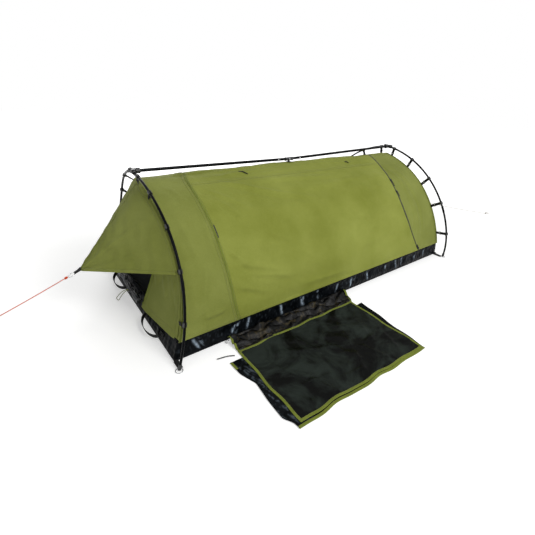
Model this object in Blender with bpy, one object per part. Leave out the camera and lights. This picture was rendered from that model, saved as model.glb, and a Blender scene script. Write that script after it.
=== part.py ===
"""Swag bedroll: a canvas dome on a PVC tub, hung from a pole frame that stands outside it.

Metres, +Z up.  The origin is the middle of the tub's underside.  X runs along the bed, from the
front door at -X to the foot end at +X.  The near side, with the boot mat, is at -Y.
"""
from math import atan2, ceil, cos, exp, pi, sin, sqrt

import bmesh
import bpy
from mathutils import Matrix, Vector

# Driving sizes
LENGTH = 2.15                # between the feet of the two hoops, and the tub's floor
HOOP_SPAN = 1.20             # between the two feet of one hoop
HOOP_HEIGHT = 0.735          # pole axis at the top of a hoop
FOOT_STAND_OFF = 0.060       # from the tub's side to the middle of a pole's foot
TUB_WIDTH = HOOP_SPAN - 2 * FOOT_STAND_OFF
TUB_HEIGHT = 0.10
TUB_WALL = 0.003
POLE_DIAMETER = 0.013
RIDGE_DIAMETER = 0.016
RIDGE_DROP = 0.018           # how far the middle of the ridge hangs below its ends
CANVAS = 0.002
GAP = 0.0003                 # between pieces that touch
SLIDE_GAP = 0.0006           # between pieces that pass each other
OVERRUN = 0.004              # how far a cutter passes the face that it cuts

# Hoops.  A shape holds the control points of half a hoop as shares of half its span and height.
HOOP_SHAPE_SHARES = {
    "front": ((1.0, 0.0), (0.917, 0.278), (0.709, 0.933), (0.0, 1.0)),
    "rear": ((1.0, 0.0), (1.102, 0.387), (0.765, 0.926), (0.0, 1.0)),
}
FRONT_LEAN = 0.089           # how far the top leans in over the bed
REAR_LEAN = 0.107
FRONT_BOW = 0.056            # how far the middle of the legs bows in further
REAR_BOW = 0.029
HOOP_LEAN = {"front": FRONT_LEAN, "rear": REAR_LEAN}
HOOP_BOW = {"front": FRONT_BOW, "rear": REAR_BOW}
FOOT_LIFT = 0.003            # the axis above the ground where a leaning pole ends
LEG_SEGMENTS = 26

# Canopy.  Its end arches have their own shape, as shares of half the tub's width and of their rise.
ARCH_SHAPE_SHARES = {
    "front": ((1.0, 0.0), (0.969, 0.284), (0.704, 0.981), (0.0, 1.0)),
    "rear": ((1.0, 0.0), (0.951, 0.347), (0.729, 0.862), (0.0, 1.0)),
}
FRONT_TOP_DROP = 0.043       # canvas below the hoop at its top
REAR_TOP_DROP = 0.051
TOP_DROP = {"front": FRONT_TOP_DROP, "rear": REAR_TOP_DROP}
HEM = 0.006                  # canvas past the hoop's own surface, where the hangers are sewn
PEAK_RISE = 0.011            # how far the middle clip lifts the roof
PEAK_SHARE = 0.49            # the middle clip along the roof
DOOR_TOP_SHARE = 0.12        # the door's hinge line, round the arch from the top
FRONT_SEAM_SHARES = (0.112, 0.040, 0.35, 0.65)   # least, growth, its middle and its reach
REAR_SEAM_SHARES = (0.815, 0.060, 0.50, 0.50)
SIDE_SAG = 0.012             # how far the wind side pulls in between the seams
FOLD_DEPTH = 0.005
FOLD_SHARES = ((0.16, 0.05, 0.10), (0.34, 0.06, 0.06), (0.58, 0.08, -0.05))
SEAM_GAP = 0.0007
HINGE_GAP = 0.0013
BAND_SEGMENTS = 3
DOOR_SEGMENTS = 14
ROOF_SEGMENTS = 10
ROOF_STRIPS = 4

# Insect screens behind the doors
SCREEN = 0.001
SCREEN_LAP_SHARE = 0.012     # how far a screen reaches under the panels beside its door
SCREEN_BEHIND = 0.0008

# End walls and their hoods
WALL_TOP_SHARE = 0.96        # the end walls' top edge, round the arch from the rim
HOOD_REACH = 0.225           # the hood's tip beyond the hoop's foot
HOOD_TIP_HEIGHT = 0.294
HOOD_CORNER_SHARE = 0.595    # the hood's lower corner round the arch from the top
HOOD_CANVAS = 0.0015
HOOD_ROWS = 4
HOOD_COLUMNS = 16
TAB_WIDTH = 0.025
TAB_LENGTH = 0.024
TAB_FALL_SHARE = 0.42        # fall over run, in line with the guy rope
FLAP_EDGE_SHARES = ((0.0, 0.16), (0.12, 0.21), (0.30, 0.24), (0.55, 0.18), (0.80, 0.08), (1.0, 0.02))
ROLL_RADIUS = 0.020
ROLL_SPAN_SHARES = (0.10, 0.84)
ROLL_SIDES_LEVEL = 6
SCREEN_ROLL_RADIUS = 0.020
SCREEN_ROLL_NEAR = -0.075    # Y of its two ends
SCREEN_ROLL_FAR = 0.43
SCREEN_ROLL_DROP = 0.014     # where it touches the tub's end wall, below the rim
SCREEN_ROLL_SEGMENTS = 10

# Mattress
MATTRESS_END_ROOM = 0.065    # from the tub's floor edge
MATTRESS_SIDE_ROOM = 0.035
MATTRESS_LENGTH = LENGTH - 2 * MATTRESS_END_ROOM
MATTRESS_WIDTH = TUB_WIDTH - 2 * MATTRESS_SIDE_ROOM
MATTRESS_HEIGHT = 0.060
MATTRESS_CORNER = 0.030

# Hubs, ferrule and hangers
HUB_LENGTH = 0.066
HUB_WALL = 0.0055
SOCKET_DEPTH = 0.018
SOCKET_PLAY = 0.0006
RIDGE_SOCKET_LENGTH = 0.036
FERRULE_LENGTH = 0.060
FERRULE_DIAMETER = 0.022
LUG_WIDTH = 0.030
LUG_THICKNESS = 0.012
HANGER_SHARES = {
    "front": (0.245, 0.471, 0.661, 0.830, 0.945),
    "rear": (0.221, 0.459, 0.646, 0.815, 0.955),
}
HANGER_WIDTH = 0.020
HANGER_STRAP = 0.0018
CLIP_WALL = 0.0025
CLIP_PLAY = 0.0005
CLIP_MOUTH_DEGREES = 50.0
CLIP_STEPS = 10

# Rings
RING_RADIUS = 0.016
RING_WIRE = 0.002
RING_STEPS = 18
RING_SIDES = 6
CORNER_STRAP_WIDTH = 0.022
CORNER_STRAP = 0.0016
CORNER_STRAP_LAP = 0.012

# Carry handles on the front end of the tub
HANDLE_SPAN = 0.21
HANDLE_MIDDLE = 0.265        # from the middle of the tub
HANDLE_REACH = 0.058
HANDLE_HEIGHT = 0.040
HANDLE_WEBBING = 0.0022
HANDLE_WIDTH = 0.024
HANDLE_NOSE = 0.003          # half the width of the rolled end that it turns on
HANDLE_FLARE_SHARE = 0.40
HANDLE_DROOP_DEGREES = 20.0
HANDLE_STEPS = 14
HANDLE_CLEAR = 0.0005

# Boot mat on the ground beside the near door
MAT_SET_BACK = 0.278         # the cover's front corner behind the tub's front edge
MAT_START = MAT_SET_BACK - LENGTH / 2
MAT_LENGTH = 0.785
MAT_DEPTH = 0.459
MAT_SET_OFF = 0.098          # the cover's back edge from the tub's wall
MAT_CLOTH = 0.0015
STRIP_CLOTH = 0.0014
STRIP_HEIGHT = 0.022         # where the strip is sewn to the tub's wall
STRIP_CLEAR = 0.0009
STRIP_FLAT = 0.045           # the length of the strip that lies flat
STRIP_SPLAY = 0.040          # how much wider the strip is at the tub
MAT_ROWS = 4
MAT_COLUMNS = 6
BASE_HEAD_BACK = 0.070       # how far the base's corners pass the cover's, head end first
BASE_FOOT_BACK = 0.046
BASE_HEAD_FRONT = 0.018
BASE_FOOT_FRONT = -0.004
BASE_BACK_SET = 0.044        # the base's back edge behind the cover's
BASE_FRONT_SET = 0.018

# Guy ropes
ROPE_DIAMETER = 0.004
REAR_ROPE_DIAMETER = 0.0035
KNOT_LENGTH = 0.018
KNOT_DIAMETER = 0.012
END_LOOP_RADIUS = 0.016
END_LOOP_SIDES = 6
FRONT_ROPE_RUN = 0.335
FRONT_ROPE_FALL_SHARE = 0.372    # fall over run
FRONT_ROPE_SAG = 0.002
REAR_ROPE_REACH = 1.425      # its end beyond the tub's rear edge
REAR_ROPE_ASIDE = 0.272      # its end towards the near side
REAR_ROPE_SAG = 0.010
ROPE_POINT_SPACING_SHARE = 2.6   # rope diameters between points
ROPE_POINTS_MOST = 78

SIDES = {"near": -1.0, "far": 1.0}
ENDS = {"front": -1.0, "rear": 1.0}


def clear_scene():
    """Remove what a new file holds."""
    for item in list(bpy.data.objects):
        bpy.data.objects.remove(item, do_unlink=True)


def make_material(name, colour, roughness, metallic=0.0):
    """Give a Principled material in linear colour."""
    material = bpy.data.materials.new(name)
    material.use_nodes = True
    shader = material.node_tree.nodes["Principled BSDF"]
    shader.inputs["Base Color"].default_value = (*colour, 1.0)
    shader.inputs["Roughness"].default_value = roughness
    shader.inputs["Metallic"].default_value = metallic
    return material


def make_materials():
    """Make one material for each finish."""
    return {
        "canvas": make_material("olive_canvas", (0.235, 0.270, 0.060), 0.85),
        "pvc": make_material("black_pvc", (0.010, 0.011, 0.013), 0.25),
        "mesh": make_material("black_mesh", (0.012, 0.012, 0.012), 0.80),
        "pole": make_material("black_alloy_pole", (0.012, 0.012, 0.013), 0.35, 0.6),
        "plastic": make_material("black_moulding", (0.015, 0.015, 0.017), 0.45),
        "webbing": make_material("black_webbing", (0.010, 0.010, 0.010), 0.80),
        "steel": make_material("steel_wire", (0.55, 0.55, 0.56), 0.30, 1.0),
        "orange": make_material("orange_cord", (0.80, 0.16, 0.03), 0.70),
        "grey": make_material("pale_cord", (0.42, 0.42, 0.40), 0.70),
        "foam": make_material("mattress_cover", (0.10, 0.10, 0.11), 0.85),
    }


def link(name, data, material):
    """Put data in the scene as a named object with one material."""
    item = bpy.data.objects.new(name, data)
    bpy.context.scene.collection.objects.link(item)
    data.materials.append(material)
    return item


def set_origin(item, origin):
    """Move an object's origin and leave its shape where it is."""
    shift = Vector(origin)
    item.data.transform(Matrix.Translation(-shift))
    item.location = shift


def mesh_object(name, points, faces, material, smooth=True):
    """Build a closed mesh object whose faces point out."""
    mesh = bpy.data.meshes.new(name)
    mesh.from_pydata([tuple(point) for point in points], [], faces)
    work = bmesh.new()
    work.from_mesh(mesh)
    bmesh.ops.recalc_face_normals(work, faces=work.faces)
    work.to_mesh(mesh)
    work.free()
    item = link(name, mesh, material)
    if smooth:
        mesh.shade_smooth()
        mesh.set_sharp_from_angle(angle=pi / 5)
    return item


def sheet_object(name, front, back, material):
    """Close two equal grids of points into one thin solid."""
    rows = len(front)
    columns = len(front[0])
    points = [point for row in front for point in row] + [point for row in back for point in row]
    offset = rows * columns
    faces = []

    def index(i, j, layer):
        return layer * offset + i * columns + j

    for i in range(rows - 1):
        for j in range(columns - 1):
            faces.append((index(i, j, 0), index(i + 1, j, 0), index(i + 1, j + 1, 0), index(i, j + 1, 0)))
            faces.append((index(i, j, 1), index(i, j + 1, 1), index(i + 1, j + 1, 1), index(i + 1, j, 1)))
    for i in range(rows - 1):
        for j in (0, columns - 1):
            faces.append((index(i, j, 0), index(i, j, 1), index(i + 1, j, 1), index(i + 1, j, 0)))
    for j in range(columns - 1):
        for i in (0, rows - 1):
            faces.append((index(i, j, 0), index(i, j + 1, 0), index(i, j + 1, 1), index(i, j, 1)))
    return mesh_object(name, points, faces, material)


def offset_grid(grid, depth, outward):
    """Move a grid of points along its own normals, against the outward direction.

    outward gives the rough outward direction at a point.
    """
    rows = len(grid)
    columns = len(grid[0])
    result = []
    for i in range(rows):
        row = []
        for j in range(columns):
            along = grid[min(i + 1, rows - 1)][j] - grid[max(i - 1, 0)][j]
            across = grid[i][min(j + 1, columns - 1)] - grid[i][max(j - 1, 0)]
            normal = along.cross(across).normalized()
            if normal.dot(outward(grid[i][j])) < 0:
                normal = -normal
            row.append(grid[i][j] - normal * depth)
        result.append(row)
    return result


def tube_object(name, points, diameter, material, sides_level=2):
    """Draw a round rod or cord along points, with filled ends; it has 4 sides and 2 more a level."""
    curve = bpy.data.curves.new(name, "CURVE")
    curve.dimensions = "3D"
    spline = curve.splines.new("POLY")
    spline.points.add(len(points) - 1)
    for target, point in zip(spline.points, points):
        target.co = (*point, 1.0)
    curve.bevel_depth = diameter / 2
    curve.bevel_resolution = sides_level
    curve.use_fill_caps = True
    return link(name, curve, material)


def rod_mesh(name, start, end, diameter, material, sides=16):
    """Make a straight round rod between two points."""
    axis = Vector(end) - Vector(start)
    frame = axis.to_track_quat("Z", "Y").to_matrix()
    points = []
    for foot in (Vector(start), Vector(end)):
        for k in range(sides):
            angle = 2 * pi * k / sides
            points.append(foot + frame @ Vector((cos(angle), sin(angle), 0)) * diameter / 2)
    faces = [tuple(range(sides)), tuple(range(2 * sides - 1, sides - 1, -1))]
    for k in range(sides):
        following = (k + 1) % sides
        faces.append((k, following, sides + following, sides + k))
    return mesh_object(name, points, faces, material)


def box_mesh(name, low, high, material):
    """Make a box between two corners."""
    points = [(x, y, z) for x in (low[0], high[0]) for y in (low[1], high[1]) for z in (low[2], high[2])]
    faces = [(0, 1, 3, 2), (4, 6, 7, 5), (0, 4, 5, 1), (2, 3, 7, 6), (0, 2, 6, 4), (1, 5, 7, 3)]
    return mesh_object(name, points, faces, material, smooth=False)


def combine(item, other, operation):
    """Add or cut with another object, which then stays as a hidden helper."""
    change = item.modifiers.new(f"{operation.lower()}_{other.name}", "BOOLEAN")
    change.object = other
    change.operation = operation
    change.solver = "EXACT"
    other.hide_render = True
    other.display_type = "WIRE"


def bezier(shares, t):
    """Give a point on a cubic curve from its four control points."""
    weights = ((1 - t) ** 3, 3 * (1 - t) ** 2 * t, 3 * (1 - t) * t * t, t ** 3)
    return tuple(sum(w * point[k] for w, point in zip(weights, shares)) for k in (0, 1))


def hoop_x(end, height):
    """Give the X of a hoop's curved surface at a height."""
    share = height / HOOP_HEIGHT
    inward = HOOP_LEAN[end] * share + 4 * HOOP_BOW[end] * share * (1 - share)
    return ENDS[end] * (LENGTH / 2 - inward)


def hoop_point(end, side, t):
    """Give a point of a hoop's axis, from its foot at 0 to its top at 1."""
    out, up = bezier(HOOP_SHAPE_SHARES[end], t)
    height = up * HOOP_HEIGHT
    return Vector((hoop_x(end, height), SIDES[side] * out * HOOP_SPAN / 2, height))


def arch_section(end, v):
    """Give Y and Z of the canvas at one end, from the near rim at -1 to the far rim at 1."""
    out, up = bezier(ARCH_SHAPE_SHARES[end], 1 - abs(v))
    rise = HOOP_HEIGHT - TOP_DROP[end] - TUB_HEIGHT - GAP
    side = 1.0 if v > 0 else -1.0
    return side * out * TUB_WIDTH / 2, TUB_HEIGHT + GAP + up * rise


def arch_point(end, v):
    """Give a point on the canvas's end hem."""
    y, z = arch_section(end, v)
    return Vector((hoop_x(end, z) + ENDS[end] * HEM, y, z))


def seam_share(shares, v):
    """Give where a curved seam crosses the roof's length."""
    least, growth, middle, reach = shares
    return least + growth * ((abs(v) - middle) / reach) ** 2


def relief(u, v):
    """Give how far the canvas stands out from the straight lines between its two hems."""
    front = seam_share(FRONT_SEAM_SHARES, v)
    rear = seam_share(REAR_SEAM_SHARES, v)
    if abs(v) < DOOR_TOP_SHARE:
        tent = u / PEAK_SHARE if u < PEAK_SHARE else (1 - u) / (1 - PEAK_SHARE)
        return PEAK_RISE * max(tent, 0.0) * (1 - (v / DOOR_TOP_SHARE) ** 2)
    along = (u - front) / (rear - front)
    if along <= 0 or along >= 1:
        return 0.0
    down = (abs(v) - DOOR_TOP_SHARE) / (1 - DOOR_TOP_SHARE)
    span = 4 * along * (1 - along)
    depth = SIDE_SAG * span * sin(pi * down)
    for middle, width, slope in FOLD_SHARES:
        place = (down - middle - slope * along) / width
        depth += FOLD_DEPTH * span * exp(-place * place) * sin(pi * down)
    return -depth


def outward_from_bed(point):
    """Point away from the bed's own middle line."""
    return Vector((0, point.y, point.z - TUB_HEIGHT))


def canopy_point(u, v):
    """Give a point on the canopy's outer face."""
    base = arch_point("front", v).lerp(arch_point("rear", v), u)
    return base + outward_from_bed(base).normalized() * relief(u, v)


def canopy_grid(v_values, stations):
    """Give a grid on the canopy from its rows round the arch and its stations along each row."""
    return [[canopy_point(u, v) for u in stations(v)] for v in v_values]


def behind(grid, depth):
    """Give the grid a little inside another, and never below the tub's rim."""
    inner = offset_grid(grid, depth, outward_from_bed)
    for row in inner:
        for point in row:
            point.z = max(point.z, TUB_HEIGHT + GAP)
    return inner


def canvas_panel(name, v_values, stations, material):
    """Make one sewn panel of the canopy."""
    outer = canopy_grid(v_values, stations)
    return sheet_object(name, outer, behind(outer, CANVAS), material)


def spread(start, stop, count):
    """Give evenly spaced values, both ends included."""
    return [start + (stop - start) * k / count for k in range(count + 1)]


def share_of(distance):
    """Turn a distance along the bed into a share of the roof's length."""
    return distance / (LENGTH - HOOP_LEAN["front"] - HOOP_LEAN["rear"])


def arch_share_of(distance):
    """Turn a distance round the arch into a share of its half."""
    return distance / (TUB_WIDTH / 2 + HOOP_HEIGHT - TUB_HEIGHT)


def make_tub(materials):
    """Make the open tub, with a webbing strap sewn to each corner for its ring."""
    levels = (
        (0.0, 0.0, 0.0),
        (TUB_HEIGHT, 1.0, 0.0),
        (TUB_HEIGHT, 1.0, TUB_WALL),
        (TUB_WALL, TUB_WALL / TUB_HEIGHT, TUB_WALL),
    )
    points = []
    for height, share, wall in levels:
        front = -LENGTH / 2 + tub_lean("front") * share + wall
        rear = LENGTH / 2 - tub_lean("rear") * share - wall
        half = TUB_WIDTH / 2 - wall
        points += [(front, -half, height), (rear, -half, height), (rear, half, height), (front, half, height)]
    faces = [(3, 2, 1, 0), (12, 13, 14, 15)]
    for level in range(3):
        for k in range(4):
            following = (k + 1) % 4
            low = 4 * level
            faces.append((low + k, low + following, low + 4 + following, low + 4 + k))
    tub = mesh_object("tub_base", points, faces, materials["pvc"], smooth=False)
    for end, along in ENDS.items():
        for side, across in SIDES.items():
            ring = corner_ring_centre(end, side)
            inner = across * (TUB_WIDTH / 2 - CORNER_STRAP_LAP)
            outer = ring.y - across * (RING_RADIUS + RING_WIRE + GAP)
            middle = ring.x - along * CORNER_STRAP_WIDTH / 2
            strap = box_mesh(
                f"strap_helper_{end}_{side}",
                (middle - CORNER_STRAP_WIDTH / 2, min(inner, outer), TUB_WALL / 4),
                (middle + CORNER_STRAP_WIDTH / 2, max(inner, outer), TUB_WALL / 4 + CORNER_STRAP),
                materials["webbing"],
            )
            combine(tub, strap, "UNION")


def make_mattress(materials):
    """Make the foam mattress that lies in the tub."""
    low = (-MATTRESS_LENGTH / 2, -MATTRESS_WIDTH / 2, TUB_WALL + GAP)
    high = (MATTRESS_LENGTH / 2, MATTRESS_WIDTH / 2, TUB_WALL + GAP + MATTRESS_HEIGHT)
    mattress = box_mesh("mattress", low, high, materials["foam"])
    bevel = mattress.modifiers.new("soft_edges", "BEVEL")
    bevel.width = min(MATTRESS_CORNER, MATTRESS_HEIGHT / 3)
    bevel.segments = 2


def make_canopy(materials):
    """Make the sewn canvas panels and the two doors, each door turning on its top edge."""
    seam = share_of(SEAM_GAP)
    canvas = materials["canvas"]
    arch = side_values(-1.0)[::-1] + roof_values() + side_values(1.0)

    def front_band(v):
        return spread(0.0, seam_share(FRONT_SEAM_SHARES, v) - seam / 2, BAND_SEGMENTS)

    def rear_band(v):
        return spread(seam_share(REAR_SEAM_SHARES, v) + seam / 2, 1.0, BAND_SEGMENTS)

    def roof_stations(v):
        return spread(*door_ends(v), ROOF_SEGMENTS)

    canvas_panel("canopy_front", arch, front_band, canvas)
    canvas_panel("canopy_rear", arch, rear_band, canvas)
    canvas_panel("canopy_roof", roof_values(), roof_stations, canvas)
    for side, across in SIDES.items():
        door = canvas_panel(f"{side}_door", side_values(across), door_stations, canvas)
        set_origin(door, door_hinge_line(across)[0])
        make_screen(side, across, materials["mesh"])


def roof_values():
    """Give the roof strip's rows round the arch, from one door's hinge line to the other's."""
    edge = DOOR_TOP_SHARE - arch_share_of(HINGE_GAP) / 2
    return spread(-edge, edge, ROOF_STRIPS)


def side_values(across):
    """Give the rows of one side round the arch, from its hinge line to the tub's rim."""
    edge = DOOR_TOP_SHARE + arch_share_of(HINGE_GAP) / 2
    return spread(across * edge, across, DOOR_SEGMENTS)


def door_ends(v):
    """Give where a row of a door starts and stops, just inside the two curved seams."""
    seam = share_of(SEAM_GAP)
    return seam_share(FRONT_SEAM_SHARES, v) + seam / 2, seam_share(REAR_SEAM_SHARES, v) - seam / 2


def door_stations(v):
    """Give a door's stations along one row."""
    return spread(*door_ends(v), DOOR_SEGMENTS)


def door_hinge_line(across):
    """Give two points of the line that a side door turns on, in the middle of its canvas."""
    v = across * (DOOR_TOP_SHARE + arch_share_of(HINGE_GAP) / 2)
    points = []
    for shares in (FRONT_SEAM_SHARES, REAR_SEAM_SHARES):
        point = canopy_point(seam_share(shares, v), v)
        points.append(point - outward_from_bed(point).normalized() * CANVAS / 2)
    return points


def make_screen(side, across, material):
    """Make the insect screen behind a side door."""

    def stations(v):
        inside = door_stations(v)
        return [inside[0] - SCREEN_LAP_SHARE, *inside, inside[-1] + SCREEN_LAP_SHARE]

    skin = canopy_grid(side_values(across), stations)
    outer = behind(skin, CANVAS + SCREEN_BEHIND)
    inner = behind(skin, CANVAS + SCREEN_BEHIND + SCREEN)
    sheet_object(f"{side}_screen", outer, inner, material)


def arch_inside(end, t, depth):
    """Give Y and Z at a depth inside the far half of an arch, for a share up from its rim."""
    step = 1 / DOOR_SEGMENTS / DOOR_SEGMENTS
    y, z = arch_section(end, 1 - t)
    ahead_y, ahead_z = arch_section(end, 1 - t - step)
    along = Vector((ahead_y - y, ahead_z - z)).normalized()
    return y - along.y * depth, max(z + along.x * depth, TUB_HEIGHT + GAP)


def end_sheet(name, end, rows, material):
    """Make a flat cloth in a hoop's curved surface from rows of near Y, far Y and height."""
    front = []
    back = []
    for near, far, height in rows:
        x = hoop_x(end, height)
        columns = spread(near, far, 4)
        front.append([Vector((x - CANVAS / 2, y, height)) for y in columns])
        back.append([Vector((x + CANVAS / 2, y, height)) for y in columns])
    return sheet_object(name, front, back, material)


def interpolate(table, value):
    """Read a table of pairs between its entries."""
    for (low, first), (high, last) in zip(table, table[1:]):
        if value <= high:
            return first + (last - first) * (value - low) / (high - low)
    return table[-1][1]


def make_end_walls(materials):
    """Make the closed rear wall, and the front door's two halves: one hung, one rolled back."""
    rear_rows = []
    flap_rows = []
    levels = [1 - v for v in side_values(1.0)[::-1]] + [1 - v for v in roof_values()[::-1]]
    for t in (level for level in levels if level < WALL_TOP_SHARE):
        half, height = arch_inside("rear", t, CANVAS + SLIDE_GAP)
        rear_rows.append((-half, half, height))
        half, height = arch_inside("front", t, CANVAS + SLIDE_GAP)
        rise = (height - TUB_HEIGHT) / (HOOP_HEIGHT - TOP_DROP["front"] - TUB_HEIGHT)
        edge = interpolate(FLAP_EDGE_SHARES, rise) * TUB_WIDTH / 2
        flap_rows.append((-half, -edge, height))
    end_sheet("rear_wall", "rear", rear_rows, materials["canvas"])
    end_sheet("front_flap_near", "front", flap_rows, materials["canvas"])

    route = []
    low, high = ROLL_SPAN_SHARES
    for t in (level for level in levels if low < level < high):
        y, z = arch_inside("front", t, CANVAS + SLIDE_GAP + ROLL_RADIUS)
        route.append(Vector((hoop_x("front", z) + ROLL_RADIUS, y, z)))
    tube_object("front_flap_far", route, 2 * ROLL_RADIUS, materials["canvas"], ROLL_SIDES_LEVEL)

    seat = end_wall_point(TUB_HEIGHT - SCREEN_ROLL_DROP) + end_wall_normal() * (SCREEN_ROLL_RADIUS + GAP)
    roll = [seat + Vector((0, y, 0)) for y in spread(SCREEN_ROLL_NEAR, SCREEN_ROLL_FAR, SCREEN_ROLL_SEGMENTS)]
    tube_object("screen_roll", roll, 2 * SCREEN_ROLL_RADIUS, materials["mesh"], ROLL_SIDES_LEVEL)


def hood_tip(end):
    """Give the middle of a hood's tip, where its webbing tab starts."""
    return Vector((ENDS[end] * (LENGTH / 2 + HOOD_REACH), 0, HOOD_TIP_HEIGHT))


def tab_end(end):
    """Give the outer end of a hood's webbing tab."""
    level = 1 / sqrt(1 + TAB_FALL_SHARE ** 2)
    return hood_tip(end) + Vector((ENDS[end] * level, 0, -TAB_FALL_SHARE * level)) * TAB_LENGTH


def make_hood(end, materials):
    """Make the peaked hood over an end, drawn out to a webbing tab."""
    tip = hood_tip(end)
    rows = [[] for _ in range(HOOD_ROWS + 2)]
    for v in spread(-HOOD_CORNER_SHARE, HOOD_CORNER_SHARE, HOOD_COLUMNS):
        start = arch_point(end, v) + Vector((ENDS[end] * GAP, 0, 0))
        aside = Vector((0, v / HOOD_CORNER_SHARE * TAB_WIDTH / 2, 0))
        for k in range(HOOD_ROWS + 1):
            rows[k].append(start.lerp(tip + aside, k / HOOD_ROWS))
        rows[-1].append(tab_end(end) + aside)

    def above(point):
        return Vector((ENDS[end] * TUB_HEIGHT, point.y, TUB_HEIGHT * 2))

    inner = offset_grid(rows, HOOD_CANVAS, above)
    for hem_point, lining_point in zip(rows[0], inner[0]):
        lining_point.x = hem_point.x
    sheet_object(f"{end}_hood", rows, inner, materials["canvas"])


def make_legs(materials):
    """Make the four half hoops, from the ground into the hubs."""
    for end in ENDS:
        for side in SIDES:
            start = leg_foot_share(end)
            stop = leg_top_share(end)
            points = [hoop_point(end, side, t) for t in spread(start, stop, LEG_SEGMENTS)]
            tube_object(f"{end}_leg_{side}", points, POLE_DIAMETER, materials["pole"])


def leg_foot_share(end):
    """Give where the pole's axis ends just above the ground."""
    t = 0.0
    while hoop_point(end, "far", t).z < FOOT_LIFT:
        t += 1 / 2000
    return t


def leg_top_share(end):
    """Give where a leg stops inside its hub."""
    t = 1.0
    while hoop_point(end, "far", t).y < HUB_LENGTH / 2 - SOCKET_DEPTH + SLIDE_GAP:
        t -= 1 / 2000
    return t


def ridge_points():
    """Give the ridge's front end, middle and rear end."""
    front = Vector((hoop_x("front", HOOP_HEIGHT), 0, HOOP_HEIGHT))
    rear = Vector((hoop_x("rear", HOOP_HEIGHT), 0, HOOP_HEIGHT))
    middle = front.lerp(rear, PEAK_SHARE) - Vector((0, 0, RIDGE_DROP))
    return front, middle, rear


def make_hub(end, materials):
    """Make a top hub: a moulding with two sockets for the legs and one for the ridge."""
    plastic = materials["plastic"]
    front, middle, rear = ridge_points()
    top = front if end == "front" else rear
    toward = (middle - top).normalized()
    half = Vector((0, HUB_LENGTH / 2, 0))
    hub = rod_mesh(f"{end}_hub", top - half, top + half, POLE_DIAMETER + 2 * HUB_WALL, plastic, 18)
    socket_end = top + toward * RIDGE_SOCKET_LENGTH
    boss = rod_mesh(f"hub_boss_{end}", top, socket_end, RIDGE_DIAMETER + 2 * HUB_WALL, plastic, 18)
    combine(hub, boss, "UNION")
    bore = rod_mesh(
        f"hub_bore_{end}_ridge", socket_end - toward * SOCKET_DEPTH, socket_end + toward * OVERRUN,
        RIDGE_DIAMETER + 2 * SOCKET_PLAY, plastic)
    combine(hub, bore, "DIFFERENCE")
    for side in SIDES:
        t = leg_top_share(end)
        inner = hoop_point(end, side, t)
        outer = hoop_point(end, side, t - 1 / 50)
        along = (outer - inner).normalized()
        bore = rod_mesh(
            f"hub_bore_{end}_{side}", inner - along * SLIDE_GAP, inner + along * (SOCKET_DEPTH + OVERRUN),
            POLE_DIAMETER + 2 * SOCKET_PLAY, plastic)
        combine(hub, bore, "DIFFERENCE")


def make_ridge(materials):
    """Make the two ridge poles and the ferrule between them, which holds up the roof's peak."""
    front, middle, rear = ridge_points()
    for end, top in (("front", front), ("rear", rear)):
        toward = (middle - top).normalized()
        start = top + toward * (RIDGE_SOCKET_LENGTH - SOCKET_DEPTH + SLIDE_GAP)
        stop = middle - toward * (FERRULE_LENGTH / 2 + SLIDE_GAP)
        rod_mesh(f"ridge_pole_{end}", start, stop, RIDGE_DIAMETER, materials["pole"], 14)
    half = Vector((FERRULE_LENGTH / 2, 0, 0))
    plastic = materials["plastic"]
    ferrule = rod_mesh("ridge_ferrule", middle - half, middle + half, FERRULE_DIAMETER, plastic, 18)
    peak = canopy_point(PEAK_SHARE, 0.0)
    lug = box_mesh(
        "ferrule_lug",
        (middle.x - LUG_WIDTH / 2, -LUG_THICKNESS / 2, peak.z + SLIDE_GAP),
        (middle.x + LUG_WIDTH / 2, LUG_THICKNESS / 2, middle.z),
        plastic)
    combine(ferrule, lug, "UNION")


def strap_reach(end, origin, direction):
    """Give how far it is from a pole's axis to the canvas, straight along a direction."""
    step = HANGER_STRAP / 8
    reach = POLE_DIAMETER / 2
    while reach < HOOP_SPAN / 2:
        point = origin + direction * reach
        half = arch_half_width(end, point.z)
        if abs(point.y) < half:
            return reach
        reach += step
    return reach


def arch_half_width(end, height):
    """Give the canvas's half width at a height, or zero above its top."""
    low = 0.0
    high = 1.0
    if height >= arch_section(end, 0.0)[1]:
        return 0.0
    for _ in range(40):
        middle = (low + high) / 2
        if arch_section(end, middle - 1)[1] < height:
            low = middle
        else:
            high = middle
    return abs(arch_section(end, low - 1)[0])


def nearest_canvas(end, side, point):
    """Give the direction from a pole to the nearest canvas, across the bed."""
    best = None
    for v in spread(0.0, SIDES[side], 400):
        y, z = arch_section(end, v)
        away = Vector((0, y - point.y, z - point.z))
        if best is None or away.length < best.length:
            best = away
    return best.normalized()


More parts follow.
